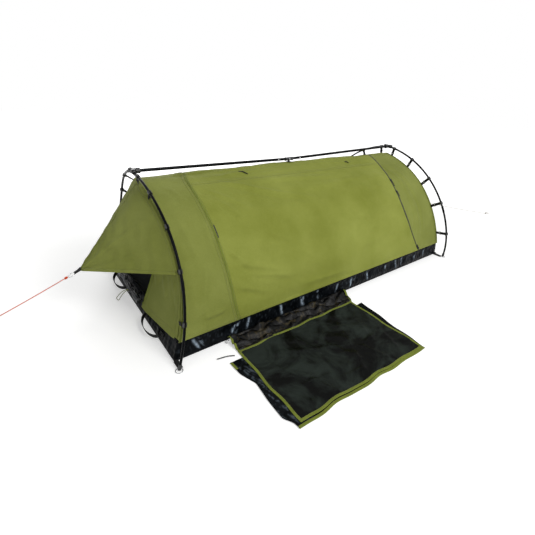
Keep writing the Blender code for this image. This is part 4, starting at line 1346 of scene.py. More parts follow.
# ---------------------------------------------------------------- tub and bed


def add_painted_highlight(item: Piece, values: Array) -> None:
    """Write the highlights painted along a coated cloth's creases, point by point, for its material."""
    item.data.attributes.new("crease_wear", "FLOAT", "POINT").data.foreach_set("value", values.ravel())


@dataclass
class TubBase:
    """The welded vinyl tub: a floor, a bent-up wall all round, and a hem over its rim.

    streaks are the upright creases of the near wall, each with a highlight painted along it: where each is,
    how far it leans and how far it stands out.
    """

    corner: float = 0.016
    turn: float = 0.010
    rim_hem: float = 0.016
    rim_sheet: float = 0.0016
    floor_top: float = 0.0031
    floor_half: float = 0.5393
    long_points: int = 560
    end_points: int = 250
    streaks: tuple[tuple[float, float, float], ...] = (
        (-0.956, -0.046, 0.0048), (-0.930, -0.036, 0.0034), (-0.766, 0.034, 0.0050), (-0.742, 0.028, 0.0040),
        (-0.679, 0.022, 0.0040), (-0.461, -0.020, 0.0046), (-0.315, -0.034, 0.0044), (-0.300, -0.028, 0.0030),
        (-0.195, -0.012, 0.0034), (-0.040, 0.020, 0.0030), (0.081, 0.016, 0.0042), (0.110, 0.020, 0.0026),
        (0.242, -0.010, 0.0040), (0.420, 0.014, 0.0030), (0.540, -0.020, 0.0024), (0.610, -0.010, 0.0026),
        (0.760, 0.014, 0.0022), (0.880, -0.012, 0.0020))

    def outline(self, inset: float, height: float) -> Array:
        """Give the rounded outline of the tub at a height.

        Args:
            inset: how far inside its outer face.
            height: above the ground.

        Returns:
            Points of shape (n, 3), anticlockwise from the near front corner.
        """
        share = min(max(height / SHAPE.tub_height, 0.0), 1.0)
        low = -SHAPE.length / 2 + SHAPE.tub_lean(End.FRONT) * share + inset
        high = SHAPE.length / 2 - SHAPE.tub_lean(End.REAR) * share - inset
        half = SHAPE.tub_width / 2 - inset
        radius = min(max(self.corner - inset, 0.002), half * 0.9)
        arcs = []
        for k, (x, y) in enumerate(((low, -half), (high, -half), (high, half), (low, half))):
            centre = np.array([x - math.copysign(radius, x), y - math.copysign(radius, y)])
            first = np.pi * (1 + k / 2) % (2 * np.pi)
            arcs.append(centre + radius * circle(np.linspace(first, first + np.pi / 2, 9)))
        points = []
        for k, arc in enumerate(arcs):
            count = self.end_points if k % 2 else self.long_points
            on = np.linspace(0.0, 1.0, count + 1)[1:-1, None]
            points += [arc, arc[-1] + (arcs[(k + 1) % 4][0] - arc[-1]) * on]
        flat = np.concatenate(points)
        return xyz(flat[:, 0], flat[:, 1], height)

    def near_side(self, points: Array) -> Array:
        """Give 1 on the near wall and 0 elsewhere."""
        return smooth((-SHAPE.tub_width / 2 + 0.03 - points[:, 1]) / 0.02)

    def wall_lift(self, points: Array, height: float) -> Array:
        """Give how far the wall's creases stand out at a height.

        Args:
            points: the wall's outline there.
            height: above the ground.

        Returns:
            The height of the creases at each point.
        """
        x, near = points[:, 0], self.near_side(points)
        span = math.sin(math.pi * min(max((height - 0.004) / 0.094, 0.0), 1.0)) ** 0.7
        run, level = x + 1.7 * points[:, 1], np.full(len(points), height)
        lift = ripple(run, level, 11, 0.11, 0.0018, 0.7) + ripple(run, level, 12, 0.040, 0.0006, 0.5)
        for middle, lean, size in self.streaks:
            place = (x - middle - lean * (height - 0.05) / 0.1) / 0.0075
            lift = lift + near * size * (bump(place) - 0.45 * bump((place - 2.2) / 1.4))
        low = math.sin(math.pi * min(height / 0.075, 1.0)) ** 2
        lift = lift + near * low * 0.0045 * smooth((x + 0.2) / 0.3) * smooth((1.03 - x) / 0.2)
        fold = smooth((np.abs(x) - SHAPE.length / 2 + 0.17) / 0.12)
        for k in range(3):
            lift = lift + fold * 0.0014 * bump((height - 0.024 - 0.026 * k) / 0.007)
        return lift * span

    def wear(self, points: Array, height: float) -> Array:
        """Give how much highlight is painted along the vinyl's creases at a height.

        Args:
            points: the wall's outline there.
            height: above the ground.

        Returns:
            The painted highlight at each point, from 0 to 1.
        """
        upper = smooth((height - 0.018) / 0.03) * smooth((0.096 - height) / 0.012)
        # A painted highlight beside each crease of the near wall, and a faint broken painted highlight on both side
        # walls.
        amount = np.zeros(len(points))
        for x, lean, size in self.streaks:
            place = (points[:, 0] - x - lean * (height - 0.05) / 0.1 + 0.0020) / 0.0068
            amount = np.maximum(amount, bump(place) * size / 0.0042)
        run = points[:, 0] + 1.7 * points[:, 1]
        faint = smooth(np.abs(ripple(run, np.full(len(points), height), 13, 0.050, 1.0, 0.35)) * 2.2 - 1.7) * 0.07
        faint = faint * smooth((np.abs(points[:, 1]) - SHAPE.tub_width / 2 + 0.03) / 0.02)
        return np.maximum(amount * self.near_side(points), faint) * upper

    def build(self) -> None:
        """Build the tub's shell, its rim hem and its corner laps."""
        wall, top, turn, floor = SHAPE.tub_wall, SHAPE.tub_height, self.turn, self.floor_top
        outside = [(self.floor_half, 0.0004), (0.30, 0.0003), (0.08, 0.0003)]
        angles = np.linspace(0.15, np.pi / 2, 6)
        outside += [(turn * (1 - math.sin(a)), turn * (1 - math.cos(a)) + 0.0002) for a in angles]
        outside += [(0.0, z) for z in np.linspace(turn + 0.005, top - 0.001, 16)]
        inside = [(0.0006, top - 0.0002), (wall / 2, top), (wall - 0.0006, top - 0.0002)]
        inside += [(wall, z) for z in np.linspace(top - 0.001, turn, 8)]
        inside += [(wall + 0.006, 0.0042), (0.08, floor), (0.30, floor), (self.floor_half, floor)]
        grid, worn = [], []
        for inset, height in outside + inside:
            line = self.outline(inset, height)
            # Only the rows of the outer face take the painted highlight.
            worn.append(self.wear(line, height) if inset < 0.0005 else np.zeros(len(line)))
            if 0.003 < height < 0.0995:
                away = unit(np.gradient(line, axis=0))[:, [1, 0, 2]] * [1.0, -1.0, 0.0]
                line = line + away * self.wall_lift(line, height)[:, None]
            grid.append(line)
        shell = grid_object("vinyl_tub", np.array(grid), VINYL, close_columns=True, flip=True)
        add_painted_highlight(shell, np.concatenate(worn))
        settle(shell, Slot.PVC, "tub_base")
        self.rim()
        self.laps()

    def rim(self) -> None:
        """Build the folded hem over the front and rear rims, with its stitching."""
        rows, parts = [], []
        for end in End:
            lean, half = SHAPE.tub_lean(end), SHAPE.tub_width / 2 - 0.020
            y = np.linspace(-half, half, 150)
            lift = 0.0012 + ripple(y, y * 0, 21 + int(end.value), 0.09, 0.0006)
            path = xyz(end.value * (SHAPE.length / 2 - lean) + end.value * lift, y, SHAPE.tub_height - 0.001)
            down = unit(xyz(end.value * lean / SHAPE.tub_height, 0.0, -1.0))
            facing = unit(xyz(end.value, 0.0, 0.35))
            parts.append(strap("rim", path + down * self.rim_hem / 2, facing, self.rim_hem, self.rim_sheet, VINYL))
            rows.append((path + down * (self.rim_hem - 0.003) + facing * 0.0009, facing))
        settle(joined("tub_rim_hems", parts), Slot.PVC)
        stitches("tub_rim_stitching", rows, Slot.WEBBING, BLACK_THREAD)

    def laps(self) -> None:
        """Build the welded lap down each corner of the tub."""
        z = np.linspace(0.012, SHAPE.tub_height - 0.004, 14)
        parts = []
        for end in End:
            for side in Side:
                x = end.value * (SHAPE.length / 2 - SHAPE.tub_lean(end) * z / SHAPE.tub_height - 0.034)
                path = xyz(x, side.value * (SHAPE.tub_width / 2 + 0.0008), z)
                parts.append(strap("lap", path, (0.0, side.value, 0.0), 0.024, 0.0012, VINYL))
        settle(joined("tub_corner_laps", parts), Slot.PVC)


@dataclass
class CornerAnchor:
    """A webbing strap sewn under a corner of the tub, with the steel ring that a pole's foot stands in."""

    end: End
    side: Side
    width: float = 0.022
    thickness: float = 0.0016

    def build(self) -> None:
        """Build the ring and the strap that is folded round it."""
        word, across = f"{self.end.word}_{self.side.word}", self.side.value
        centre = SHAPE.corner_ring(self.end, self.side)
        ring = steel_ring(f"steel_ring_{word}", centre, xyz(0.0, 0.0, 1.0), xyz(0.0, -across, 0.0))
        settle(ring, Slot.STEEL, f"corner_ring_{word}")
        wire = centre[1] - across * math.sqrt(SHAPE.ring_radius ** 2 - (self.width / 2) ** 2)
        inner = across * (SHAPE.tub_width / 2 - 0.006)
        over = ((inner, 0.0140), (inner + across * 0.0085, 0.0120), (inner + across * 0.014, 0.0066),
                (wire - across * 0.006, 0.0052), (wire, 0.0052), (wire + across * 0.0034, 0.0040),
                (wire + across * 0.0030, 0.0016), (wire, 0.0011), (wire - across * 0.010, 0.0011), (inner, 0.0011))
        corners = np.array([(centre[0] - self.end.value * self.width / 2, y, z) for y, z in over])
        path = softened(resampled(corners, 0.0022), 3)
        tape = folded_strap(f"corner_strap_{word}", path, (self.end.value, 0.0, 0.0), self.width, self.thickness)
        settle(tape, Slot.WEBBING)


def steel_ring(name: str, centre: Array, normal: Array, weld_at: Array) -> Piece:
    """Make a ring of bent wire with the small bead of its weld.

    Args:
        name: the piece's name.
        centre: its middle.
        normal: the unit normal of its plane.
        weld_at: the direction from the middle to the weld.

    Returns:
        The ring.
    """
    first = unit(weld_at - normal * float(np.dot(weld_at, normal)))
    count, sides = 72, 14
    turn, angles = turns(count)[:, None], turns(sides)[None]
    spoke = first * np.cos(turn) + np.cross(normal, first) * np.sin(turn)
    wire = SHAPE.ring_wire * (1 + 0.16 * bump(np.minimum(turn, 2 * np.pi - turn) / 0.10))
    out = SHAPE.ring_radius + wire * np.cos(angles)
    grid = centre + spoke[:, None] * out[..., None] + normal * (wire * np.sin(angles))[..., None]
    uv = across_and_along(np.arange(count + 1)[:, None] * 0.0014, np.arange(sides + 1)[None] / sides)
    return grid_object(name, grid, NICKEL, uv, close_rows=True, close_columns=True)


@dataclass
class Mattress:
    """A foam slab in a brushed cover, a little crowned, with piping round its edges."""

    length: float = 2.02
    width: float = 1.01
    height: float = 0.060
    base: float = 0.0033
    squareness: float = 0.16
    edge_inset: float = 0.016
    flats: tuple[float, ...] = (0.49, 0.40, 0.30, 0.20, 0.12, 0.06, 0.030)
    piping_heights: tuple[float, float] = (0.0085, 0.0525)
    piping_radius: float = 0.0024

    def outline(self, inset: float, count: int) -> Array:
        """Give the slab's rounded outline.

        Args:
            inset: how far inside its edge.
            count: points round it.

        Returns:
            Points of shape (count, 2).
        """
        round_at = circle(turns(count))
        half = np.array([self.length / 2 - inset, self.width / 2 - inset])
        return np.sign(round_at) * np.abs(round_at) ** self.squareness * half

    def build(self) -> None:
        """Build the slab and its piping."""
        side = [(self.edge_inset * (1 - math.cos(a) ** 0.5), self.height / 2 * (1 + math.sin(a)))
                for a in np.linspace(-np.pi / 2, np.pi / 2, 19)]
        rows = []
        for inset, z in [(k, 0.0) for k in self.flats] + side + [(k, self.height) for k in self.flats[::-1]]:
            x, y = self.outline(inset, 240).T
            rise = np.full(len(x), self.base + z)
            if z > self.height * 0.9:
                rise = rise - 0.0005 - np.abs(ripple(x, y, 31, 0.30, 0.0026)) * smooth(np.array(inset / 0.05))
            rows.append(xyz(x, y, rise))
        slab = grid_object("foam_mattress", np.array(rows), FOAM_COVER, close_columns=True, caps=True)
        settle(slab, Slot.FOAM, "mattress")
        parts = []
        for z in self.piping_heights:
            x, y = self.outline(0.0048, 300).T
            line = xyz(x, y, self.base + z)
            up = np.broadcast_to([0.0, 0.0, 1.0], line.shape)
            grid = swept(line, np.cross(ring_ahead(line), up), up, self.piping_radius * circle(turns(8)))
            parts.append(grid_object("piping", grid, FOAM_COVER, close_rows=True, close_columns=True))
        settle(joined("mattress_piping", parts), Slot.FOAM)


# ---------------------------------------------------------------- canvas


@dataclass
class Canopy:
    """The sewn canvas: two bands, the roof strip, the two zipped doors, their seams, hems and screens.

    reach is the canopy's length from hem to hem, and girth that of one side from the ridge to the rim. The
    far side's creases are the near side's from far_creases on, turned end for end.
    """

    step: float = 0.0065
    far_step: float = 0.008
    screen_step: float = 0.012
    reach: float = 1.93
    girth: float = 0.87
    hem_width: float = 0.020
    far_creases: tuple[int, int] = (3, 16)
    near_creases: tuple[Crease, ...] = creases((
        (0.33, 0.105, 0.75, 0.300, 0.016, 0.0040), (0.50, 0.215, 0.93, 0.335, 0.013, 0.0028),
        (0.27, 0.170, 0.46, 0.330, 0.012, 0.0026), (0.315, 0.272, 0.391, 0.385, 0.012, 0.0030),
        (0.483, 0.470, 0.640, 0.545, 0.014, 0.0024), (0.250, 0.520, 0.380, 0.635, 0.012, 0.0036),
        (0.270, 0.585, 0.560, 0.690, 0.014, 0.0038), (0.330, 0.650, 0.650, 0.738, 0.013, 0.0032),
        (0.290, 0.705, 0.480, 0.780, 0.012, 0.0030), (1.102, 0.500, 1.428, 0.525, 0.014, 0.0020),
        (1.233, 0.605, 1.360, 0.602, 0.012, 0.0018), (0.700, 0.800, 1.104, 0.815, 0.014, 0.0028),
        (0.560, 0.150, 1.250, 0.200, 0.016, 0.0024), (0.820, 0.270, 1.400, 0.235, 0.018, 0.0022),
        (0.840, 0.400, 1.150, 0.470, 0.020, 0.0018), (1.150, 0.700, 1.560, 0.650, 0.018, 0.0020),
        (0.130, 0.560, 0.100, 0.760, 0.012, 0.0026), (0.060, 0.300, 0.105, 0.560, 0.014, 0.0020),
        (0.190, 0.330, 0.170, 0.700, 0.016, 0.0022), (0.110, 0.800, 0.225, 0.790, 0.010, 0.0040),
        (0.130, 0.770, 0.120, 0.870, 0.010, 0.0030), (0.090, 0.060, 0.150, 0.250, 0.014, 0.0022),
        (1.700, 0.150, 1.800, 0.700, 0.016, 0.0026), (1.780, 0.200, 1.865, 0.760, 0.014, 0.0024),
        (1.740, 0.420, 1.760, 0.800, 0.012, 0.0020)))
    roof_creases: tuple[Crease, ...] = creases((
        (0.30, 0.02, 0.94, 0.012, 0.014, 0.0022), (0.98, 0.012, 1.60, 0.045, 0.014, 0.0022),
        (0.35, 0.08, 0.92, 0.045, 0.012, 0.0018), (1.00, 0.04, 1.50, 0.085, 0.012, 0.0018)))

    def lift(self, u: Array, v: Array) -> Array:
        """Give how far the small folds lift the canvas.

        Args:
            u: shares along the roof.
            v: shares round the arch.

        Returns:
            The height, which dies away at each seam and hem.
        """
        along, down = SHAPE.metres(u, v)
        reach, near = 1.95, np.asarray(v) < 0
        side = sum(crease.lift(along, down) for crease in self.near_creases)
        far = sum(crease.lift(self.reach - along, down) for crease in self.near_creases[slice(*self.far_creases)])
        top = sum(crease.lift(along, down) for crease in self.roof_creases)
        folds = np.where(np.abs(v) < SHAPE.door_top, top, np.where(near, side, far))
        run = along + np.where(near, 0.0, 5.0)
        waves = ripple(run, down, 3, 0.24, 0.0034, 1.8) + ripple(run, down, 4, 0.080, 0.0012, 1.7)
        waves = waves + ripple(run, down, 5, 0.030, 0.00035, 1.4)
        edge = np.ones_like(along)
        for seam in (SHAPE.front_seam, SHAPE.rear_seam):
            edge = edge * (0.25 + 0.75 * smooth(np.abs(u - SHAPE.seam(seam, v)) * reach / 0.030))
        edge = edge * smooth(u * reach / 0.035) * smooth((1 - u) * reach / 0.035)
        hinge = 0.20 + 0.80 * smooth(np.abs(np.abs(v) - SHAPE.door_top) / 0.035)
        return (folds + waves) * edge * hinge * smooth((1 - np.abs(v)) / 0.030)

    def skin(self, u: Array, v: Array, height: float | Array = 0.0) -> Array:
        """Give points on the canvas's outer face.

        Args:
            u: shares along the roof.
            v: shares round the arch.
            height: how far outside the face.

        Returns:
            The points.
        """
        u, v = np.broadcast_arrays(np.asarray(u, float), np.asarray(v, float))
        base = SHAPE.plain_skin(u, v)
        points = base + SHAPE.outward(base) * (self.lift(u, v) + height)[..., None]
        points[..., 2] = np.maximum(points[..., 2], SHAPE.tub_height + SHAPE.gap)
        return points

    def panel(
        self, name: str, rows: Array, start: Array, stop: Array, finish: Finish, height: float = 0.0,
        step: float | None = None,
    ) -> tuple[Piece, Array]:
        """Make one panel between two curved edges.

        Args:
            name: the piece's name.
            rows: its rows round the arch.
            start: the share where each row starts.
            stop: the share where it stops.
            finish: its surface.
            height: how far outside the canvas's face.
            step: distance between points, the canopy's own where left out.

        Returns:
            The panel and its grid of points.
        """
        count = max(int(float((stop - start).max()) * self.reach / (step or self.step)), 4)
        u = mixed(start[:, None], stop[:, None], np.linspace(0.0, 1.0, count)[None])
        v = np.broadcast_to(rows[:, None], u.shape)
        grid = self.skin(u, v, height)
        along, down = SHAPE.metres(u, v)
        return grid_object(name, grid, finish, across_and_along(along, np.sign(v) * down), flip=True), grid

    def rows(self, low: float, high: float, step: float | None = None) -> Array:
        """Give rows round the arch from one share to another."""
        return np.linspace(low, high, max(int(abs(high - low) * self.girth / (step or self.step)), 4))

    def front_line(self, v: float | Array) -> Array:
        """Give where the front seam is."""
        return SHAPE.seam(SHAPE.front_seam, v)

    def rear_line(self, v: float | Array) -> Array:
        """Give where the rear seam is."""
        return SHAPE.seam(SHAPE.rear_seam, v)

    def ribbon(
        self, name: str, u: Array, v: Array, width: float | Array, height: float, finish: Finish, lift: float = 0.0004,
        along_roof: bool = False, edge: float = -0.0008,
    ) -> tuple[Piece, Array]:
        """Make a raised strip of cloth or tape along a line on the canvas.

        Args:
            name: the piece's name.
            u: shares along the roof, point by point.
            v: shares round the arch, point by point.
            width: across the strip.
            height: of its crown.
            finish: its surface.
            lift: of the strip as a whole.
            along_roof: the strip runs along the roof, and not round the arch.
            edge: the height of its two edges, a little inside the cloth.

        Returns:
            The strip and the grid of its face.
        """
        offsets = np.array([-0.5, -0.42, -0.25, 0.0, 0.25, 0.42, 0.5])
        crown = np.array([0.0, 0.72, 0.95, 1.0, 0.95, 0.72, 0.0])
        here = SHAPE.plain_skin(u, v)
        if along_roof:
            turn = np.linalg.norm(here - SHAPE.plain_skin(u, v + 0.005 * np.sign(-v)), axis=-1) / 0.005
            us, vs = np.broadcast_arrays(u[:, None], v[:, None] + offsets[None] * width / turn[:, None])
        else:
            reach = np.linalg.norm(here - SHAPE.plain_skin(u + 0.01, v), axis=-1) / 0.01
            us, vs = np.broadcast_arrays(u[:, None] + offsets[None] * np.asarray(width) / reach[:, None], v[:, None])
        heights = lift + np.where(crown > 0, crown * height, edge)
        grid = self.skin(us, vs, np.broadcast_to(heights[None], us.shape))
        item = grid_object(name, grid, finish, flip=not along_roof)
        if along_roof and v[0] < 0:
            item.data.flip_normals()
        return item, grid

    def build(self) -> None:
        """Build every panel, seam and hem."""
        self.panels()
        self.screens()
        self.seams()
        self.hems()
        self.trims()

    def panels(self) -> None:
        """Build the bands, the roof strip and the doors."""
        around, top = self.rows(-1.0, 1.0), SHAPE.door_top + SHAPE.seam_gap
        middle = self.rows(SHAPE.seam_gap - SHAPE.door_top, SHAPE.door_top - SHAPE.seam_gap)
        seam = SHAPE.seam_gap / self.reach / 2
        for name, node, rows, start, stop, finish in (
                ("front_band", "canopy_front", around, around * 0, self.front_line(around) - seam, BAND_CANVAS),
                ("rear_band", "canopy_rear", around, self.rear_line(around) + seam, around * 0 + 1, BAND_CANVAS),
                ("roof_strip", "canopy_roof", middle, self.front_line(middle) + seam,
                 self.rear_line(middle) - seam, CANVAS)):
            item, grid = self.panel(f"canvas_{name}", rows, start, stop, finish)
            settle(thicken(item, SHAPE.canvas * 0.85), Slot.CANVAS, node)
            declare_cloth(item, grid, "stretched", "hub_moulding_front", "hub_moulding_rear")
        for side in Side:
            step = self.step if side is Side.NEAR else self.far_step
            rows = self.rows(side.value * top, side.value, step)[::int(side.value)]
            item, grid = self.panel(f"canvas_door_{side.word}", rows, self.front_line(rows) + seam,
                                    self.rear_line(rows) - seam, CANVAS, step=step)
            settle(thicken(item, SHAPE.canvas * 0.85), Slot.CANVAS, f"{side.word}_door", body=f"{side.word}_door")
            declare_cloth(item, grid, "stretched", "canvas_roof_strip")

    def screens(self) -> None:
        """Build the insect screens behind the doors."""
        lap = 0.012
        for side in Side:
            rows = self.rows(side.value * 0.121, side.value, self.screen_step)[::int(side.value)]
            item, grid = self.panel(f"insect_screen_{side.word}", rows, self.front_line(rows) - lap,
                                    self.rear_line(rows) + lap, NET, -0.0034, self.screen_step)
            settle(thicken(item, 0.0006), Slot.MESH, f"{side.word}_screen")
            declare_cloth(item, grid, "stretched", "canvas_roof_strip")

    def seams(self) -> None:
        """Build the curved seams: a corded cover at the front, an open zip at the rear, and their stitching."""
        parts, rows = [], []
        around = self.rows(-0.995, 0.995, 0.005)
        front, rear = self.front_line(around), self.rear_line(around)
        for name, u, width, height, finish, columns in (
                ("cover", front - 0.0022, 0.012, 0.0021, BINDING, (1, 5)),
                ("tape", front - 0.0115, 0.008, 0.0006, BAND_CANVAS, (3,)),
                ("lap", rear + 0.0048, 0.011, 0.0011, BAND_CANVAS, (4,))):
            part, face = self.ribbon(name, u, around, width, height, finish)
            parts.append(part)
            rows += [(face[:, k], SHAPE.outward(face[:, k])) for k in columns]
        settle(joined("canopy_seam_tapes", parts), Slot.CANVAS)
        wide = 0.0075 + 0.0035 * smooth(np.sin(around * 9.0 + 0.6))
        settle(self.ribbon("door_zip_rear", rear, around, wide[:, None], 0.0016, ZIP)[0], Slot.PLASTIC)
        slit = self.rows(-0.462, -0.392, 0.004)
        vent = self.ribbon("vent_slit", self.front_line(slit) + 0.0022, slit, 0.0065, 0.0022, ZIP, lift=0.0012)
        settle(vent[0], Slot.PLASTIC)
        stitches("canopy_seam_stitching", rows, Slot.CANVAS, OLIVE_THREAD)

    def hems(self) -> None:
        """Build the hems at the rim and the hoops, and the doors' top seams, with their stitching."""
        bodies = ("swag", "near_door", "far_door")
        cloth, thread = {body: [] for body in bodies}, {body: [] for body in bodies}
        top = SHAPE.door_top
        for side in Side:
            sign, door = side.value, f"{side.word}_door"
            front, rear = self.front_line(sign), self.rear_line(sign)
            for body, first, last in (("swag", 0.004, front - 0.0005), (door, front + 0.001, rear - 0.004),
                                      ("swag", rear + 0.004, 0.996)):
                u = np.linspace(first, last, max(int((last - first) * self.reach / 0.008), 8))
                v = np.full_like(u, sign * (1 - self.hem_width / 2 / 0.80))
                finish = BAND_CANVAS if body == "swag" else CANVAS
                hem, face = self.ribbon("hem", u, v, self.hem_width, 0.0007, finish, along_roof=True)
                cloth[body].append(hem)
                line = face[:, 5 if sign < 0 else 1]
                thread[body].append((line, SHAPE.outward(line)))
            u = np.linspace(self.front_line(top) + 0.006, self.rear_line(top) - 0.006, 180)
            for offset in (-0.006, 0.0):
                line = self.skin(u, sign * (top + offset - 0.004), 0.0005)
                thread["swag"].append((line, SHAPE.outward(line)))
            v = np.full_like(u, sign * (top - 0.0042))
            cloth["swag"].append(self.ribbon("fold", u, v, 0.011, 0.0006, CANVAS, along_roof=True)[0])
        around = self.rows(-0.998, 0.998, 0.006)
        for u in (0.0034, 1 - 0.0034):
            piping, face = self.ribbon("piping", np.full_like(around, u), around, 0.0125, 0.0012, BINDING)
            cloth["swag"].append(piping)
            thread["swag"] += [(face[:, column], SHAPE.outward(face[:, column])) for column in (1, 5)]
        for body in bodies:
            name = "canopy_hems" if body == "swag" else f"{body}_hem"
            settle(joined(name, cloth[body]), Slot.CANVAS, body=body)
            stitches(f"{name}_stitching", thread[body], Slot.CANVAS, OLIVE_THREAD, body=body)

    def trims(self) -> None:
        """Build the zip sliders, the roll-up tabs near the ridge and the webbing end of the rear zip."""
        self.slider("zip_slider_1", -0.300, 1.3)
        self.slider("zip_slider_2", -0.402, 1.0)
        share = np.linspace(0.0, 1.0, 12)[:, None]
        for number, (u0, v0, u1, v1) in enumerate(
                ((0.278, -0.052, 0.300, -0.084), (0.708, -0.068, 0.7225, -0.080)), start=1):
            path = mixed(self.skin(u0, v0, 0.0016), self.skin(u1, v1, 0.0018), share)
            path[:, 2] += 0.0045 * np.sin(np.pi * share[:, 0]) ** 2
            settle(strap(f"roll_up_tab_{number}", path, (0.0, -0.3, 1.0), 0.009, 0.0014), Slot.WEBBING)
        v = np.array([-0.985, -0.96, -0.93])
        path = resampled(self.skin(self.rear_line(v) + 0.001, v, 0.0022), 0.004)
        settle(strap("zip_end_tab", path, (0.0, -1.0, 0.2), 0.016, 0.0016), Slot.WEBBING)

    def slider(self, name: str, v: float, size: float) -> None:
        """Build a zip's slider with its cord puller.

        Args:
            name: the piece's name.
            v: where it is round the arch.
            size: its scale.
        """
        vs = np.linspace(v - 0.010 * size, v + 0.010 * size, 9)
        path = self.skin(self.rear_line(vs), vs, 0.0032)
        width = 0.0085 * size * (0.75 + 0.25 * np.sin(np.linspace(0.2, 2.9, 9)))
        body = strap("body", path, SHAPE.outward(path), width, 0.0034, NYLON)
        vs = np.linspace(v + 0.004, v - 0.045 * size, 18)
        hang = self.skin(self.rear_line(vs) + 0.0015, vs, 0.0062)
        settle(joined(name, [body, tube("puller", hang, 0.0022, BLACK_CORD, 10)]), Slot.PLASTIC)


# ---------------------------------------------------------------- end walls and hoods


def inside_arch(end: End, share: Array, depth: float = 0.0) -> list[Array]:
    """Give Y and Z just inside the far half of an arch's canvas.

    Args:
        end: which arch.
        share: how far up from its rim.
        depth: how far further inside.

    Returns:
        The two coordinates.
    """
    depth = SHAPE.canvas + SHAPE.slide_gap + depth
    here, on = (np.stack(SHAPE.arch(end, 1 - place), axis=-1) for place in (share, share + 0.004))
    ahead = unit(on - here)
    y, z = here[..., 0] - ahead[..., 1] * depth, here[..., 1] + ahead[..., 0] * depth
    return [y, np.maximum(z, SHAPE.tub_height + SHAPE.gap)]


